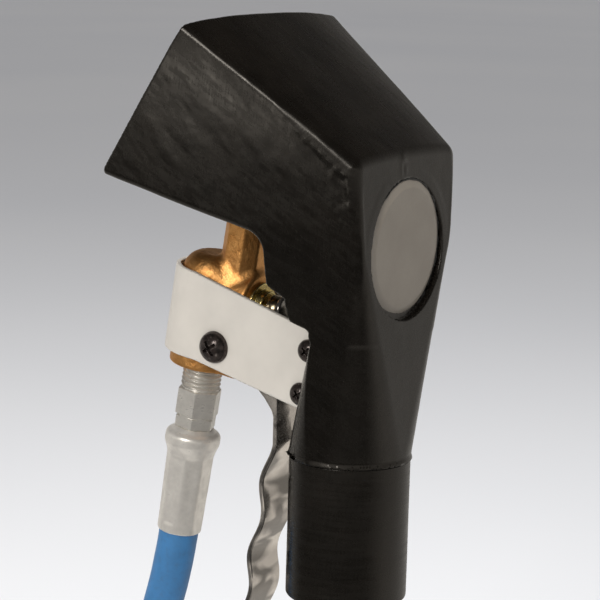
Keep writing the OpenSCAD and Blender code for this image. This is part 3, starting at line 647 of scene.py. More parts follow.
def valve_field(x, y, z):
    rho, around = np.hypot(x, y), np.hypot(x, z)
    d = rmin(CHAMBER(rho, z), BONNET(around, y), 2.6)
    leg = rmax(prism(x, y - LEG_Y, 8, 13.5, 0.5), slab(z, -4, LEG_TOP), 0.4)
    d = rmin(d, leg, 2.2)
    d = rmin(d, rmax(rmax(np.abs(x) - LUG_HALF, slab(y, 0, 16), 0.8), slab(z, FOOT_Z, -9), 0.8), 0.8)
    slot = rmax(rmax(LUG_HALF - np.abs(x), slab(y, 1.2, 22), 0.6), slab(z, BOLT_Z - 6, BOLT_Z + 5.6), 0.6)
    d = rmax(d, -slot, 0.4)
    bores = rod(rho, z, INLET_BORE, -30, -13.5, 0.3)
    bores = rmin(bores, rod(around, y, NUT_BORE, 1.5, 30, 0.2))
    bores = rmin(bores, rmax(around - PLUG_BORE, y + 7.4, 0.1))
    leg_rho = np.hypot(x, y - LEG_Y)
    bores = rmin(bores, rmax(leg_rho - NOZZLE_BORE, 24.2 - z, 0.1))
    bores = rmin(bores, rod(leg_rho, z, WATERWAY, 0, 40, 0.1))
    bores = rmin(bores, np.hypot(y - BOLT_Y, z - BOLT_Z) - BOLT_BORE)
    return rmax(d, -bores, 0.25)


def valve_detail(p):
    """As-cast skin, with the bonnet's rim and the foot left machined."""
    x, y, z = p.T
    cast = (1 - smooth(y, 14.6, 15.4)) * smooth(z, -24.2, -23.4)
    return cast * (0.035 * fractal(p, 1.1, 2, 31) + 0.04 * noise(p, 4.5, 33))


def thread(rho, theta, z):
    """A V thread with rounded crests that winds round Z."""
    phase = (z / THREAD_PITCH + theta / (2 * math.pi)) % 1.0
    ridge = 1 - 2 * np.abs(2 * phase - 1)
    crest = 0.75 * ridge + 0.25 * np.sin(ridge * math.pi / 2)
    return (rho - THREAD_R + THREAD_DEPTH / 2 * (1 - crest)) * 0.8


def fitting_field(x, y, z):
    rho, theta = np.hypot(x, y), np.arctan2(y, x)
    d = rmax(thread(rho, theta, z), slab(z, -32.7, -15), 0.3)
    d = rmin(d, rod(rho, z, 6.0, -34.4, -32.4, 0.1), 0.2)
    af, lo, hi = FITTING_HEX
    cap = np.maximum((rho - 7.28 + 0.55 * (z - hi)) * 0.87, (rho - 7.28 - 0.55 * (z - lo) - 0.25) * 0.87)
    big = rmax(rmax(prism(x, y, 6, af, 0.22, HEX_TURN), slab(z, lo, hi), 0.2), cap, 0.25)
    small = rmax(prism(x, y, 6, 12.0, 0.22, HEX_TURN), slab(z, NECK_LOW + 0.02, lo + 0.4), 0.15)
    d = rmin(rmin(d, big, 0.15), small, 0.25)
    groove = rmax(6.05 - rho, np.abs(z - lo + 0.25) - 0.3, 0.1)
    d = rmax(d, -groove, 0.15)
    d = rmin(d, rod(rho, z, BARB_R, -80.2, -40, 0.3), 0.3)
    return rmax(d, BARB_BORE - rho, 0.3)


BULB = both_sides([
    (6.2, 0, 0.5), (7.35, -1.25, 1.2), (9.05, -2.2, 1.8), (9.05, -5.4, 2.4), (7.7, -8.8, 1.0), (6, -10)])


def ferrule_field(length):
    def field(x, y, z):
        rho = np.hypot(x, y)
        taper = rho - 7.25 - 0.85 * (z + length) / length
        crimp = rmax(rmax(prism(x, y, 8, 14.7, 0.35), taper, 0.35), slab(z, -length, -7), 0.5)
        flutes = 0.25 * smooth(-z, 12, 16) * (1 - smooth(-z, length - 4, length - 2.5))
        crimp = crimp + flutes * (0.5 + 0.5 * np.cos(8 * np.arctan2(y, x)))
        d = rmin(BULB(rho, z), crimp, 0.9)
        d = rmax(d, -rod(rho, z, 6.47, -length - 9, -3.0, 0.3), 0.35)
        return rmax(d, 3.2 - rho, 0.2)
    return field


def ferrule_detail(p):
    return 0.035 * fractal(p, (3, 3, 5), 2, 41)


PLUG = both_sides([
    (5.6, 6), (5.6, 12, 0.4), (6.9, 13.2, 0.3), (6.9, 16, 0.3), (5.2, 17.6, 0.6), (5.2, 20.2, 0.6),
    (5.9, 21.4, 0.2), (5.9, 23.1, 0.15), (4.4, 23.2, 0.2), (4.4, 25, 0.2), (5.9, 25.1, 0.15), (5.9, 29, 0.3),
    (5.0, 30, 0.3)])


def quick_plug_field(x, y, z):
    rho = np.hypot(x, y)
    cap = np.maximum(rho - 8.0 + 0.5 * (z - 7.5), rho - 8.0 - 0.5 * z) * 0.87
    d = rmax(rmax(prism(x, y, 6, 14.2, 0.25), slab(z, 0.06, 7.5), 0.2), cap, 0.3)
    d = rmin(d, PLUG(rho, z), 0.2)
    d = rmin(d, rod(rho, z, BARB_R, -33, 1, 0.3), 0.2)
    return rmax(d, BARB_BORE - rho, 0.3)


# ---- strap, screws, lever

STRAP_SIDE = Outline([
    tuple((-51.4, 99.3) - 24 * VALVE_BACK), (-51.4, 99.3, 8.0), (-1.4, 83.8, 1.3), (-1.4, 81.4, 1.0),
    (-9.9, 60.2, 1.2), (-50.3, 70.8, 8.0), tuple((-50.3, 70.8) - 24 * VALVE_BACK)])


def strap_field(x, y, z):
    yl = valve_yz(y, z)[0]
    mid = STRAP_X - STRAP_T / 2
    sheet = np.where(yl < 0, np.abs(np.hypot(x, yl) - mid), np.abs(np.abs(x) - mid)) - STRAP_T / 2
    d = rmax(sheet, STRAP_SIDE(y, z), 0.32)
    for (hy, hz), r in [(PIVOT, 2.6)] + [(s, 2.15) for s in STRAP_SCREWS]:
        d = rmax(d, r - np.hypot(y - hy, z - hz), 0.12)
    return d


def pan_field(head_r, head_h, shank_r, shank_len, size):
    """Pan-head cross-recess screw along +Z with its head's underside at z = 0."""
    dome = (head_r ** 2 + (head_h * 0.82) ** 2) / (2 * head_h * 0.82)

    def field(x, y, z):
        rho = np.hypot(x, y)
        ball = np.sqrt(rho * rho + (z - head_h + dome) ** 2) - dome
        head = rmax(rmax(ball, rho - head_r, head_h * 0.28), -z, 0.15)
        d = rmin(head, rod(rho, z, shank_r, -shank_len, 1, 0.4), 0.1)
        deep = np.maximum(head_h - z, 0)
        arm = size * 0.5 - 0.42 * deep
        width = size * 0.085 - 0.05 * deep
        one = rmax(np.abs(x) - arm, np.abs(y) - width, 0.12)
        two = rmax(np.abs(y) - arm, np.abs(x) - width, 0.12)
        well = rmin(rmin(one, two, 0.35), rho - size * 0.15 + 0.3 * deep, 0.2)
        cross = rmax(well, head_h - size * 0.36 - z, 0.15)
        return rmax(d, -cross, 0.14)
    return field


def nut_field(x, y, z):
    rho = np.hypot(x, y)
    cap = np.maximum(rho - 4.75 + 0.55 * (z - 4.4) + 0.15, rho - 4.75 - 0.55 * (z - 1.2)) * 0.87
    d = rmax(rmax(prism(x, y, 6, 8.7, 0.18), slab(z, 1.15, 4.4), 0.2), cap, 0.2)
    d = rmin(d, rod(rho, z, 3.9, 0, 1.4, 0.35), 0.2)
    return rmax(d, 2.52 - rho, 0.3)


WEB_Y, WEB_TOP, WAVE_TOP, LEVER_END = -24.2, 93.5, 46.4, -27.5
LEVER_X, LEVER_T, WAVE, WAVE_PITCH, WAVE_LEAN = 8.3, 1.6, 1.35, 24.2, 0.161
EYE_R = 4.4
EAR = Outline([
    (WEB_Y + 1.2, 55.5), (-25.3, 58.4), (-27.1, 60.8, 2), (-29.4, 63.0, 2), (-32.6, 65.4, 2),
    (PIVOT[0] - 0.54 * EYE_R, PIVOT[1] - 0.8417 * EYE_R), (PIVOT[0] + 0.2 * EYE_R, PIVOT[1] + 0.98 * EYE_R),
    (-36, 80.4, 1), (-31.5, 80.4, 2), (-29, 82, 2), (-27.4, 85, 1), (WEB_Y + 1.0, 87)])


def lever_front(z):
    """Front face of the lever and its slope at height z."""
    turn = 2 * math.pi / WAVE_PITCH * 0.985
    drop = WAVE_TOP - z
    straight = WEB_Y + 0.5 * (WEB_TOP - z) / (WEB_TOP - WAVE_TOP)
    waved = WEB_Y + 0.5 - drop * WAVE_LEAN - WAVE * (1 - np.cos(turn * drop))
    slope = WAVE_LEAN + WAVE * turn * np.sin(turn * drop)
    return np.where(drop < 0, straight, waved), np.where(drop < 0, -0.0106, slope)


def lever_field(x, y, z):
    front, slope = lever_front(z)
    sheet = np.abs((y - front) / np.hypot(1, slope) - LEVER_T / 2) - LEVER_T / 2
    edge = rmax(np.abs(x) - LEVER_X, slab(z, LEVER_END, WEB_TOP), 5.0)
    web = rmax(sheet, edge, 0.55)
    plan = rmin(EAR(y, z), np.hypot(y - PIVOT[0], z - PIVOT[1]) - EYE_R, 1.0)
    ear = rmax(np.abs(np.abs(x) - LEVER_X + LEVER_T / 2) - LEVER_T / 2, plan, 0.4)
    d = rmin(web, ear, 0.9)
    return rmax(d, 2.55 - np.hypot(y - PIVOT[0], z - PIVOT[1]), 0.2)


def lever_detail(p):
    """Slight unevenness of hand-polished sheet."""
    return 0.03 * noise(p, (9, 9, 7), 51) + 0.008 * noise(p, 3.0, 52)


# ---- nozzle inside the head

NOZZLE_DROP = math.radians(9)
NOZZLE_TURN = math.pi / 2 - TILT - VALVE_LEAN - NOZZLE_DROP


def elbow_field(x, y, z):
    """Elbow in the frame whose +Z points towards the mouth; its leg runs down into the valve."""
    c, s = math.cos(NOZZLE_TURN), math.sin(NOZZLE_TURN)
    yl, zl = y * c - z * s, y * s + z * c
    rl = np.hypot(x, yl)
    leg = rod(rl, zl, 4.9, -21, 0, 0.4)
    leg = rmin(leg, rmax(prism(x, yl, 6, 15, 0.3), slab(zl, -6.7, -3.2), 0.3), 0.2)
    leg = rmin(leg, rod(rl, zl, 5.6, -4, 1), 0.2)
    rho = np.hypot(x, y)
    d = rmin(leg, np.sqrt(rho * rho + z * z) - 6.1, 0.4)
    d = rmin(d, rod(rho, z, 5.6, 0, 8.4, 0.35), 0.3)
    bore = rmin(rmax(rho - 2.4, -z), rmax(rl - 2.4, zl), 0.2)
    return rmax(d, -rmin(bore, rmax(rho - 3.95, 3.4 - z), 0.1), 0.2)


def tip_field(x, y, z):
    rho = np.hypot(x, y)
    d = rod(rho, z, 3.9, 4.6, 9, 0.2)
    d = rmin(d, rmax(prism(x, y, 6, 9.6, 0.2), slab(z, 8.6, 12.2), 0.25), 0.15)
    d = rmin(d, rmax(rho - 3.6 + 0.25 * (z - 12), slab(z, 12, 14.4), 0.3), 0.2)
    d = rmax(d, -rod(rho, z, 1.8, 3, 12.6, 0.1), 0.1)
    d = rmax(d, 0.5 - rho, 0.1)
    return rmax(d, -rmax(np.abs(y) - 0.45, 13.3 - z, 0.1), 0.12)


# ---- materials

def shade(color, factor):
    """A darker or lighter colour."""
    return tuple(min(1, factor * c) for c in color)


class Nodes:
    """A node tree that is easy to add to."""

    def __init__(self, tree):
        self.tree = tree

    def link(self, a, b):
        self.tree.links.new(a, b)

    def feed(self, socket, value):
        """Gives an input a value or another node's output."""
        if isinstance(value, bpy.types.NodeSocket):
            self.link(value, socket)
        else:
            socket.default_value = value

    def node(self, kind, inputs=(), **attributes):
        """A new node with its attributes set and its inputs fed."""
        n = self.tree.nodes.new(kind)
        for key, value in attributes.items():
            setattr(n, key, value)
        for key, value in dict(inputs).items():
            self.feed(n.inputs[key], value)
        return n

    def span(self, value, lo, hi, to_lo=0, to_hi=1):
        """A value mapped from one range onto another and held inside it."""
        ends = {"From Min": lo, "From Max": hi, "To Min": to_lo, "To Max": to_hi}
        return self.node("ShaderNodeMapRange", {"Value": value, **ends}).outputs[0]

    def mix(self, share, a, b):
        """A colour between a and b."""
        a, b = (c if isinstance(c, bpy.types.NodeSocket) else (*c, 1) for c in (a, b))
        return self.node("ShaderNodeMix", {"Factor": share, 6: a, 7: b}, data_type="RGBA").outputs[2]


class Look(Nodes):
    """A procedural material. Its texture space is in millimetres, fixed to the piece.

    color and rough are what a viewer that can't follow the nodes shows.
    """

    def __init__(self, name, color, rough, metal=0.0, **inputs):
        self.mat = bpy.data.materials.new(name)
        self.mat.use_nodes = True
        super().__init__(self.mat.node_tree)
        self.bsdf = self.tree.nodes["Principled BSDF"]
        self.set(Base_Color=(*color, 1), Roughness=rough, Metallic=metal, **inputs)
        coord = self.node("ShaderNodeTexCoord").outputs["Object"]
        self.mm = self.node("ShaderNodeVectorMath", {0: coord, "Scale": 1 / MM}, operation="SCALE").outputs[0]

    def set(self, **inputs):
        """Feeds inputs of the surface shader, named with _ in place of each space."""
        for key, value in inputs.items():
            self.feed(self.bsdf.inputs[key.replace("_", " ")], value)

    def grain(self, size, detail=2.0, rough=0.5, stretch=(1, 1, 1), turn=0, warp=0.0):
        """Noise with a grain in mm, stretched along the axes and then turned about X."""
        inputs = {"Vector": self.mm, "Scale": stretch, "Rotation": (math.radians(turn), 0, 0)}
        space = self.node("ShaderNodeMapping", inputs, vector_type="TEXTURE").outputs[0]
        inputs = {"Vector": space, "Scale": 1 / size, "Detail": detail, "Roughness": rough}
        return self.node("ShaderNodeTexNoise", {**inputs, "Distortion": warp}).outputs[0]

    def specks(self, size, radius):
        """1 in sparse dots, else 0."""
        n = self.node("ShaderNodeTexVoronoi", {"Vector": self.mm, "Scale": 1 / size})
        return self.span(n.outputs["Distance"], radius / size, 0.2 * radius / size)

    def worn(self, low, high):
        """1 on raised edges, from the mesh's own curvature."""
        return self.span(self.node("ShaderNodeNewGeometry").outputs["Pointiness"], low, high)

    def math(self, operation, a, b):
        return self.node("ShaderNodeMath", {0: a, 1: b}, operation=operation).outputs[0]

    def tint(self, pattern, first, second, lo=0.35, hi=0.65, share=1):
        """Base colour that goes from one colour to another with a pattern."""
        self.set(Base_Color=self.mix(self.span(pattern, lo, hi, 0, share), first, second))

    def gloss(self, pattern, low, high):
        """Roughness that goes between two values with a pattern."""
        self.set(Roughness=self.span(pattern, 0.3, 0.7, low, high))

    def gloss_sum(self, first, second):
        """Roughness that is the sum of two (pattern, from, to, low, high) parts."""
        self.set(Roughness=self.math("ADD", self.span(*first), self.span(*second)))

    def bump(self, height, depth_mm):
        b = self.node("ShaderNodeBump", {"Distance": depth_mm * MM, "Height": height})
        old = self.bsdf.inputs["Normal"]
        if old.is_linked:
            self.link(old.links[0].from_socket, b.inputs["Normal"])
        self.link(b.outputs[0], old)


def gelcoat(name, sanded=1.0, rough=0.25, stretch=(1, 9, 1), turn=-34):
    """Black moulding resin with sanding streaks and a few specks of dust."""
    m = Look(name, (0.005, 0.0042, 0.0034), rough, Specular_IOR_Level=0.5, Specular_Tint=(1, 0.94, 0.86, 1))
    m.tint(m.grain(14, 3, 0.55), (0.0036, 0.0029, 0.0022), (0.0062, 0.0050, 0.0038))
    streak = m.grain(1.6, 3, 0.6, stretch, turn)
    fine = m.grain(0.5, 2, 0.6, (1, 1, 10), -8)
    m.gloss_sum((streak, 0.3, 0.7, rough - 0.05, rough + 0.07), (fine, 0.3, 0.7, -0.03, 0.03))
    m.bump(streak, 0.011 * sanded)
    m.bump(m.grain(5.0), 0.05)
    m.bump(fine, 0.004)
    m.bump(m.specks(14.0, 0.22), 0.08)
    return m.mat


def cast(name, color, dark, grain_mm=0.045, rough=0.42):
    """Cast metal with a grainy skin, darker in patches."""
    m = Look(name, color, rough, 1.0)
    big, small = m.grain(3.2, 3, 0.6), m.grain(0.42, 2, 0.6)
    m.tint(small, m.mix(m.span(big, 0.32, 0.68), dark, color), shade(color, 1.18), 0.3, 0.75, 0.5)
    m.gloss(small, rough + 0.1, rough - 0.06)
    m.bump(small, grain_mm * 2.2)
    m.bump(m.grain(1.1), grain_mm * 1.2)
    return m.mat


def machined(name, color, rough=0.2, around="Z", scratch=0.006, metal=1.0):
    """Turned or plated metal with fine tool marks and slight staining."""
    m = Look(name, color, rough, metal)
    stain = m.grain(2.8, 3, 0.6)
    m.tint(stain, color, shade(color, 0.72), 0.35, 0.7, 0.6)
    marks = m.grain(0.35, 2, 0.6, [0.35 if axis == around else 6 for axis in "XYZ"])
    m.gloss_sum((marks, 0.3, 0.7, rough - 0.05, rough + 0.07), (stain, 0.4, 0.7, 0, 0.1))
    m.bump(marks, scratch)
    m.bump(m.grain(1.6), 0.02)
    return m.mat


def polished(name, color):
    """Bright sheet with darker bands painted into its colour as reflections, haze, and fine lines along it.
    """
    m = Look(name, color, 0.06, 0.86)
    haze, line = m.grain(7, 3, 0.55), m.grain(0.3, 2, 0.6, (1, 1, 22))
    m.gloss_sum((haze, 0.35, 0.7, 0.05, 0.14), (line, 0.3, 0.7, 0, 0.04))
    # Painted reflection: the darker bands in the base colour stand for dark surroundings mirrored in the
    # sheet.
    m.tint(m.grain(9, 1, 0.4, (1.6, 1, 0.7), 18, 0.6), color, shade(color, 0.34), 0.44, 0.60)
    m.bump(line, 0.0018)
    m.bump(m.grain(9, 1, 0.4, (1, 1, 0.7)), 0.3)
    return m.mat


def painted(name, color):
    """Satin paint with a slight orange peel."""
    m = Look(name, color, 0.4, Specular_IOR_Level=0.5)
    cloud = m.grain(11, 3)
    m.tint(cloud, color, shade(color, 0.93))
    m.gloss(cloud, 0.36, 0.46)
    m.bump(m.grain(0.8, 2, 0.55), 0.010)
    m.bump(m.grain(5), 0.02)
    return m.mat


def blackened(name, color, brown, rubbed):
    """Blackened steel, rubbed lighter on its edges."""
    m = Look(name, color, 0.2, 0.6)
    cloud, fine = m.grain(1.6, 3, 0.6), m.grain(0.25)
    rub = m.math("MULTIPLY", m.worn(0.52, 0.60), m.span(cloud, 0.4, 0.6, 0, 0.8))
    m.set(Base_Color=m.mix(rub, m.mix(m.span(cloud, 0.35, 0.65), color, brown), rubbed))
    m.gloss(fine, 0.16, 0.28)
    m.bump(fine, 0.008)
    return m.mat


def rubber(name, color=(0.014, 0.014, 0.013), rough=0.5, lump=0.02):
    m = Look(name, color, rough)
    cloud, fine = m.grain(2.2, 3, 0.6), m.grain(0.3)
    m.tint(cloud, color, shade(color, 1.8))
    m.gloss(cloud, rough - 0.1, rough + 0.12)
    m.bump(cloud, lump * 3)
    m.bump(fine, lump)
    return m.mat


def frosted(name):
    """Clear disc with a frosted face: pale, slightly see-through, clouded."""
    m = Look(name, (0.27, 0.25, 0.22), 0.42, IOR=1.49, Transmission_Weight=0.12)
    cloud = m.grain(12, 3)
    m.tint(cloud, (0.30, 0.264, 0.217), (0.26, 0.226, 0.184), 0.3, 0.7)
    m.gloss(m.grain(0.5, 2, 0.6), 0.36, 0.5)
    m.bump(m.grain(0.5, 2, 0.5, (1, 1, 5)), 0.01)
    m.bump(cloud, 0.08)
    return m.mat


def hose_cover(name, color):
    """Matt blue cover with a faint weave and some soil."""
    m = Look(name, color, 0.5, Specular_IOR_Level=0.45, Sheen_Weight=0.05)
    cloud, weave = m.grain(8, 3, 0.6), m.grain(0.7, 2, 0.6, (1, 1, 2.5))
    tone = m.mix(m.span(cloud, 0.35, 0.65), color, shade(color, 0.82))
    m.tint(m.grain(2.0, 4, 0.65), tone, tuple(0.55 * c + 0.03 for c in color), 0.52, 0.75, 0.5)
    m.gloss(weave, 0.44, 0.62)
    m.bump(weave, 0.03)
    m.bump(m.grain(3), 0.05)
    return m.mat


def plastic(name, color, rough=0.5):
    m = Look(name, color, rough)
    fine = m.grain(0.4)
    m.tint(m.grain(5, 3), color, shade(color, 0.8))
    m.gloss(fine, rough - 0.06, rough + 0.08)
    m.bump(fine, 0.01)
    return m.mat


def floor_paint(name):
    m = Look(name, (0.74, 0.75, 0.77), 0.85)
    m.tint(m.grain(900), (0.73, 0.74, 0.76), (0.77, 0.775, 0.785), 0.3, 0.7)
    return m.mat


def span_box(node, grow=1.5):
    """Box round a CAD node in mm, grown a little, as the region to mesh in."""
    lo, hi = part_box(node)
    return np.array(lo) / MM - grow, np.array(hi) / MM + grow


def about_axis(radius, low, high):
    """Square box round Z, as the region to mesh a piece in."""
    return (-radius, -radius, low), (radius, radius, high)


# ---- pieces: head

HEAD_STEP = 0.7
moulding = gelcoat("moulding_black")
piece("head_shell_moulding", solid(shell_field, *span_box("head_shell"), HEAD_STEP, head_detail,
                                   (head_field, shell_cut)), moulding, "head_shell")
piece("back_cover_moulding", solid(back_cover_field, *span_box("back_cover"), HEAD_STEP, head_detail,
                                   (head_field, cover_cut)), moulding, "back_cover")

TUBE_TOP, SPIGOT_R, SPIGOT_TOP = TUBE_LEN - 0.05, TUBE_R - 1.8, TUBE_LEN + 3.0
v, faces, n = turned(Outline([
    (TUBE_BORE, 0, 0.5), (TUBE_R, 0, 1.1), (TUBE_R, TUBE_TOP, 0.12), (SPIGOT_R, TUBE_TOP, 0.2),
    (SPIGOT_R, SPIGOT_TOP, 0.3), (TUBE_BORE, SPIGOT_TOP, 0.2)]), 160, 1.2)
v = v + n * (0.035 * fractal(v, (7, 7, 13), 2, 61))[:, None]
tube_look = gelcoat("tube_black", 0.5, 0.27, (12, 12, 1), 0)
piece("vacuum_tube_wall", (v, faces, n), tube_look, "vacuum_tube")

at_window = (Matrix.Translation((0, back_y(WINDOW_Z), WINDOW_Z)) @ Matrix.Rotation(-math.atan(LEAN), 4, "X")
             @ Matrix.Rotation(-math.pi / 2, 4, "X"))


def lens_field(x, y, z):
    rho = np.hypot(x, y + LENS_RISE)
    d = rod(rho, z, LENS_R, -2.38, LENS_FACE, 0.12)
    bevel = (rho - LENS_R + BEVEL_WIDE) * BEVEL_DEEP + (z - LENS_FACE) * BEVEL_WIDE
    d = rmax(d, bevel / math.hypot(BEVEL_DEEP, BEVEL_WIDE), 0.1)
    return rmin(d, rod(rho, z, 18.4, -3.0, -2, 0.2), 0.2)


def lens_detail(p):
    """A gently uneven face and a rougher rim."""
    rim = smooth(np.hypot(p[:, 0], p[:, 1] + LENS_RISE), 19, 20.5)
    return 0.06 * noise(p, (11, 13, 9), 71) * (1 - rim) + 0.04 * noise(p, 2.2, 73) * rim


lens = solid(lens_field, *about_axis(22.5, -4, 0.5), 0.45, lens_detail)
piece("window_disc", placed(lens, at_window), frosted("lens_frosted"), "window_lens")


def seal_ring(sides=220, across=14, foot=-2.3):
    """Hand-laid bead in the gap round the lens: thick and low at one side, broken elsewhere."""
    a, t = round_the_clock(sides), round_the_clock(across)
    ring = np.stack([np.cos(a), np.sin(a)], 1)
    spot = np.stack([ring[:, 0] * 22, ring[:, 1] * 22, 0 * a], 1)
    # The gap is widest below the lens, which sits high in its recess.
    inner = np.sqrt(np.maximum(LENS_R ** 2 - (LENS_RISE * ring[:, 0]) ** 2, 0)) - LENS_RISE * ring[:, 1]
    mid, half = (inner + WINDOW_R) / 2, (WINDOW_R - inner) / 2 + 0.12
    top = -1.35 + 0.32 * (noise(spot, 2.4, 81) + 0.5 * noise(spot, 1.0, 82))
    r = mid[:, None] + half[:, None] * np.cos(t)
    z = (top[:, None] + foot) / 2 + (top[:, None] - foot) / 2 * np.sin(t)
    v = np.stack([r * ring[:, :1], r * ring[:, 1:], z], 2).reshape(-1, 3)
    nr, nz = np.cos(t) + 0 * r, np.sin(t) + 0 * r
    n = np.stack([nr * ring[:, :1], nr * ring[:, 1:], nz], 2).reshape(-1, 3)
    return v, ring_quads(sides, across), n


piece("window_sealant", placed(seal_ring(), at_window),
      rubber("sealant_black", (0.012, 0.012, 0.011), 0.42, 0.04), "window_seal")

# ---- pieces: strap, screws, lever

piece("strap_sheet", solid(strap_field, *span_box("strap", 1.0), 0.5),
      painted("strap_cream", (0.66, 0.62, 0.555)), "strap")


def facing(side, x, y, z):
    """Place at a point with +Z turned to point along +X or, for side -1, along -X."""
    return Matrix.Translation((x, y, z)) @ Matrix.Rotation(side * math.pi / 2, 4, "Y")


def spun(degrees):
    return Matrix.Rotation(math.radians(degrees), 4, "Z")


dark = blackened("screw_bronze_black", (0.030, 0.025, 0.023), (0.06, 0.045, 0.04), (0.22, 0.19, 0.17))
screw = solid(pan_field(3.8, 2.4, 1.98, 9.9, 4.0), *about_axis(4.4, -10.6, 3.0), 0.17)
screws = [placed(screw, facing(side, side * STRAP_X, sy, sz) @ spun(turn + 0.9 * sz))
          for sy, sz in STRAP_SCREWS for side, turn in ((1, 62), (-1, 15))]
piece("strap_screw_set", joined(screws), dark, "strap_screws")

bolt = solid(pan_field(5.4, 3.8, 2.5, 32.4, 5.9), *about_axis(6.2, -33.2, 4.6), 0.22)
piece("pivot_bolt_pan", placed(bolt, facing(1, STRAP_X, *PIVOT) @ spun(32)), dark, "pivot_bolt")
nut = solid(nut_field, *about_axis(5.4, -0.8, 5.2), 0.2)
piece("pivot_nut_hex", placed(nut, facing(-1, -STRAP_X - 0.02, *PIVOT)),
      machined("nut_zinc", (0.62, 0.62, 0.60), 0.3, "X"), "pivot_nut")

washer = turned(band(2.55, 4.2, 8.38, 11.94, 0.2, 0.3), 72)
piece("pivot_washer_pair", joined([placed(washer, facing(side, 0, *PIVOT)) for side in (1, -1)]),
      plastic("washer_nylon", (0.74, 0.73, 0.68)), "pivot_spacers")

piece("trigger_lever_sheet", solid(lever_field, *span_box("trigger_lever", 1.0), 0.5, lever_detail),
      polished("lever_stainless", (0.82, 0.76, 0.69)), "trigger_lever", "lever")

# ---- pieces: valve

body = solid(valve_field, (-12.4, -12.4, -25.6), (12.4, 18.2, 34.4), 0.4, valve_detail)
cast_brass = cast("brass_cast", (0.84, 0.445, 0.155), (0.62, 0.27, 0.075))
piece("valve_casting", placed(body, in_valve), cast_brass, "valve_body")

on_plunger = in_valve @ Matrix.Rotation(-math.pi / 2, 4, "X")
packing = turned(Outline([
    (1.65, 15, 0.2), (5.55, 15, 0.3), (5.55, 17.1, 0.1), (7.4, 17.1, 0.25), (7.4, 18.3, 0.35),
    (5.2, 18.3, 0.25), (5.2, 20.9, 0.45), (1.65, 20.9, 0.3)]), 96)
piece("packing_nut_turned", placed(packing, on_plunger),
      machined("packing_yellow_brass", (0.86, 0.70, 0.30), 0.2, "Y"), "packing_nut")

BUTTON_R, DOME_FROM, DOME_HIGH, GROOVE_AT = 4.6, 23.95, 4.2, 23.1


def button_field(x, y, z):
    """Round-tipped button with a groove and a socket for the stem."""
    rho = np.hypot(x, y)
    dome = np.hypot(rho, (z - DOME_FROM) * BUTTON_R / DOME_HIGH) - BUTTON_R
    tip = np.where(z > DOME_FROM, dome, rho - BUTTON_R) * 0.95
    d = rmax(tip, 22.1 - z, 0.35)
    d = rmax(d, -rmax(rho - 2.2, z - 22.42, 0.1), 0.1)
    return rmax(d, -(np.abs(z - GROOVE_AT) - 0.22 + 3.0 * np.maximum(4.35 - rho, 0)), 0.1)


button = solid(button_field, *about_axis(5.3, 21.4, 29), 0.22)
piece("plunger_button_tip", placed(button, on_plunger),
      machined("button_bronze", (0.52, 0.42, 0.28), 0.16, "Y"), "plunger_button", "plunger")

# ---- pieces: fittings and hose


def along_hose(s):
    """Frame at a distance along the hose: straight in both ferrules, bent between them."""
    bent = min(max(s, 0), HOSE_LEN)
    return (in_valve @ Matrix.Translation((0, -HOSE_BEND, FERRULE_LOW))
            @ Matrix.Rotation(-bent / HOSE_BEND, 4, "X") @ Matrix.Translation((0, HOSE_BEND, bent - s)))


def hose_tube(sides=64, tuck=31.0, held=0.4):
    """Hose swept from inside the upper ferrule, round its bend, into the lower one."""
    at = np.arange(-tuck, HOSE_LEN + tuck + 0.01, 1.0)
    path = [np.array(along_hose(s)) for s in at]
    radii = [HOSE_R if held <= s <= HOSE_LEN - held else HOSE_HELD_R for s in at]
    a = round_the_clock(sides)
    d = np.stack([np.cos(a), np.sin(a), 0 * a], 1)
    order = [(m, r, 1) for m, r in zip(path, radii)] + [(m, HOSE_BORE, -1) for m in path[::-1]]
    v = np.concatenate([(d * r) @ m[:3, :3].T + m[:3, 3] for m, r, way in order])
    n = np.concatenate([(way * d) @ m[:3, :3].T for m, r, way in order])
    outer = np.arange(len(v)) < len(path) * sides
    v = v + n * np.where(outer, 0.05 * fractal(v, (4, 4, 9), 2, 91) - 0.04, 0)[:, None]
    return v, ring_quads(len(order), sides), n


def ferrule(length):
    return solid(ferrule_field(length), *about_axis(10.2, -length - 1.2, 1.2), 0.4, ferrule_detail)


nickel = machined("nickel_plate", (0.80, 0.77, 0.71), 0.30, metal=0.68)
fitting = solid(fitting_field, *about_axis(8.2, -81.4, -14.0), 0.3)
piece("inlet_fitting_threaded", placed(fitting, in_valve), nickel, "inlet_fitting")

crimped = machined("ferrule_plate", (0.94, 0.90, 0.83), 0.32, scratch=0.01, metal=0.62)
piece("fitting_ferrule_crimp", placed(ferrule(NECK_LOW - FERRULE_LOW - 0.1),
                                      in_valve @ Matrix.Translation((0, 0, NECK_LOW - 0.05))),
      crimped, "fitting_ferrule")

PLUG_HANG = -45.6 - FERRULE_LOW - 0.4
in_plug = along_hose(HOSE_LEN + PLUG_HANG) @ Matrix.Scale(-1, 4, (0, 0, 1))
piece("plug_ferrule_crimp", placed(ferrule(PLUG_HANG), in_plug), crimped, "plug_ferrule")
plug = solid(quick_plug_field, *about_axis(8.9, -33.8, 31), 0.32)
piece("quick_plug_turned", placed(plug, in_plug), machined("plug_brass", (0.80, 0.60, 0.28), 0.22),
      "quick_plug")
o_ring = turned(band(4.45, 6.04, 23.32, 24.88, 0.75, 0.75), 72)
piece("plug_seal_ring", placed(o_ring, in_plug), rubber("plug_seal_rubber"), "plug_o_ring")
piece("solution_hose_run", hose_tube(), hose_cover("hose_blue", (0.045, 0.20, 0.44)), "solution_hose")

# ---- pieces: nozzle

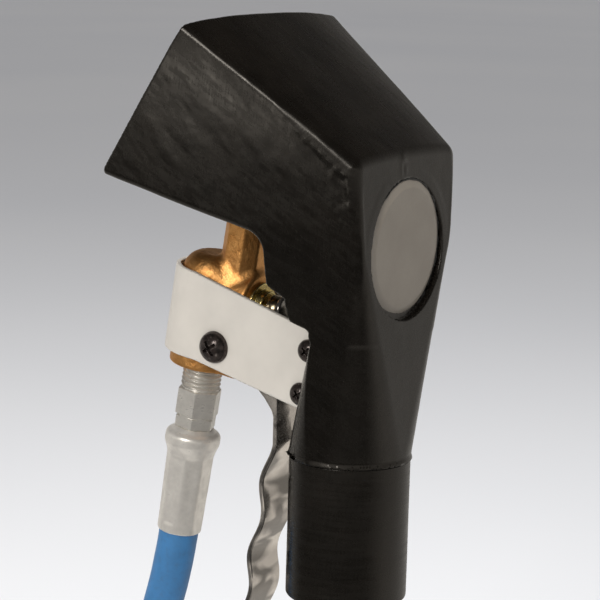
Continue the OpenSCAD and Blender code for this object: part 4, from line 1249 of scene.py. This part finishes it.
nozzle = in_valve @ Matrix.Translation((0, LEG_Y, LEG_TOP + 12.6)) @ Matrix.Rotation(NOZZLE_TURN, 4, "X")
brass = machined("brass_turned", (0.82, 0.60, 0.27), 0.24)
elbow = solid(elbow_field, (-9.2, -22, -22), (9.2, 9.5, 10), 0.4)
piece("nozzle_elbow_body", placed(elbow, nozzle), brass, "nozzle_elbow")
tip = solid(tip_field, *about_axis(6.2, 3.8, 15.2), 0.25)
piece("spray_tip_body", placed(tip, nozzle), machined("tip_brass", (0.84, 0.62, 0.28), 0.22),
      "spray_tip")

# ---- CAD pieces kept as they are

kept = {
    "divider_plate": gelcoat("divider_black", 0.6, 0.45),
    "valve_end_plug": brass,
    "valve_spring": machined("spring_steel", (0.60, 0.60, 0.60), 0.25),
    "valve_poppet": brass,
    "poppet_washer": rubber("washer_rubber"),
    "stem_o_ring": rubber("o_ring_rubber"),
    "nozzle_gasket": rubber("gasket_rubber"),
    "nozzle_strainer": machined("strainer_steel", (0.60, 0.60, 0.58), 0.35),
}
for name, look in kept.items():
    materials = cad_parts[name].data.materials
    materials.clear()
    materials.append(look)

# ---- floor and camera

FLOOR_HALF, FLOOR_GAP = 14, 0.012
floor_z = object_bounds()[0].z - FLOOR_GAP
mesh = bpy.data.meshes.new("floor")
mesh.from_pydata([(x * FLOOR_HALF, y * FLOOR_HALF, floor_z) for x, y in ((-1, -1), (1, -1), (1, 1), (-1, 1))],
                 [], [(0, 1, 2, 3)])
mesh.materials.append(floor_paint("floor_pale"))
floor = placed_in_scene("floor", mesh)
floor.visible_glossy = False

AZIMUTH, ELEVATION, ROLL = math.radians(121.77), math.radians(9.96), math.radians(1.56)
TARGET, DISTANCE = Vector((8.9, -14.4, 93.9)) * MM, 704.5 * MM
level = Vector((math.sin(AZIMUTH), -math.cos(AZIMUTH), 0))
back = level * math.cos(ELEVATION) + Vector((0, 0, math.sin(ELEVATION)))
right = Vector((math.cos(AZIMUTH), math.sin(AZIMUTH), 0))
up = back.cross(right)
right, up = right * math.cos(ROLL) + up * math.sin(ROLL), up * math.cos(ROLL) - right * math.sin(ROLL)
optics = bpy.data.cameras.new("camera")
optics.lens, optics.sensor_width = 136.5, 36
optics.clip_start, optics.clip_end = 0.05, 60
camera = placed_in_scene("camera", optics)
camera.matrix_world = Matrix((right, up, back)).transposed().to_4x4()
camera.location = TARGET + back * DISTANCE
bpy.context.scene.camera = camera

# ---- light

# Diffuse light comes from an even pale room. Reflections see its bright backdrop on the far
# side, a dark ceiling, and on the near side a bright band of wall over a darker floor.
WARM, ROOM = (1, 0.955, 0.89), (0.46, 0.455, 0.46)
world = bpy.data.worlds.new("studio")
bpy.context.scene.world = world
world.use_nodes = True
sky = Nodes(world.node_tree)
where = sky.node("ShaderNodeTexCoord").outputs["Generated"]
split = sky.node("ShaderNodeSeparateXYZ", {0: where}).outputs
height = sky.span(split["Z"], -1, 1)


def sky_ramp(stops):
    """Light by height, from 0 straight down to 1 straight up, from (height, level) stops."""
    ramp = sky.node("ShaderNodeValToRGB", {0: height})
    marks = ramp.color_ramp.elements
    while len(marks) < len(stops):
        marks.new(0.5)
    for mark, (at, strength) in zip(marks, stops):
        mark.position = at
        mark.color = [strength * c for c in WARM] + [1]
    return ramp.outputs[0]


far_side = sky_ramp([
    (0.0, 0.10), (0.25, 0.68), (0.40, 0.44), (0.5, 0.48), (0.60, 0.32), (0.70, 0.12), (0.80, 0.01)])
near_side = sky_ramp([
    (0.0, 0.45), (0.12, 0.40), (0.25, 0.03), (0.36, 0.03),
    (0.42, 0.22), (0.48, 0.56), (0.56, 0.50), (0.64, 0.05)])
reflected = sky.mix(sky.span(split["X"], 0.35, -0.25), near_side, far_side)
glossy = sky.node("ShaderNodeLightPath").outputs["Is Glossy Ray"]
sky.feed(sky.tree.nodes["Background"].inputs["Color"], sky.mix(glossy, ROOM, reflected))


def area(name, at, target, size, power, color=(1, 1, 1)):
    """Rectangular lamp at a point, aimed at another. Sizes are in metres, power in watts."""
    lamp = bpy.data.lights.new(name, "AREA")
    lamp.shape = "RECTANGLE"
    lamp.size, lamp.size_y = size
    lamp.energy = power
    lamp.color = color
    obj = placed_in_scene(name, lamp)
    obj.location = at
    obj.rotation_euler = (Vector(target) - Vector(at)).to_track_quat("-Z", "Y").to_euler()
    return obj


overhead = area("overhead", (-0.13, -0.08, 1.06), (-0.13, -0.08, 0), (0.7, 0.7), 12)
overhead.visible_glossy = False
area("key", (1.20, 0.02, 0.62), (0, -0.03, 0.08), (0.40, 0.40), 7.5, (1, 0.975, 0.94))
area("card", (0.37, -0.105, 0.086), (0.04, -0.02, 0.152), (0.07, 0.045), 0.038, (1, 0.96, 0.90))

bpy.context.scene.view_settings.view_transform = "Standard"
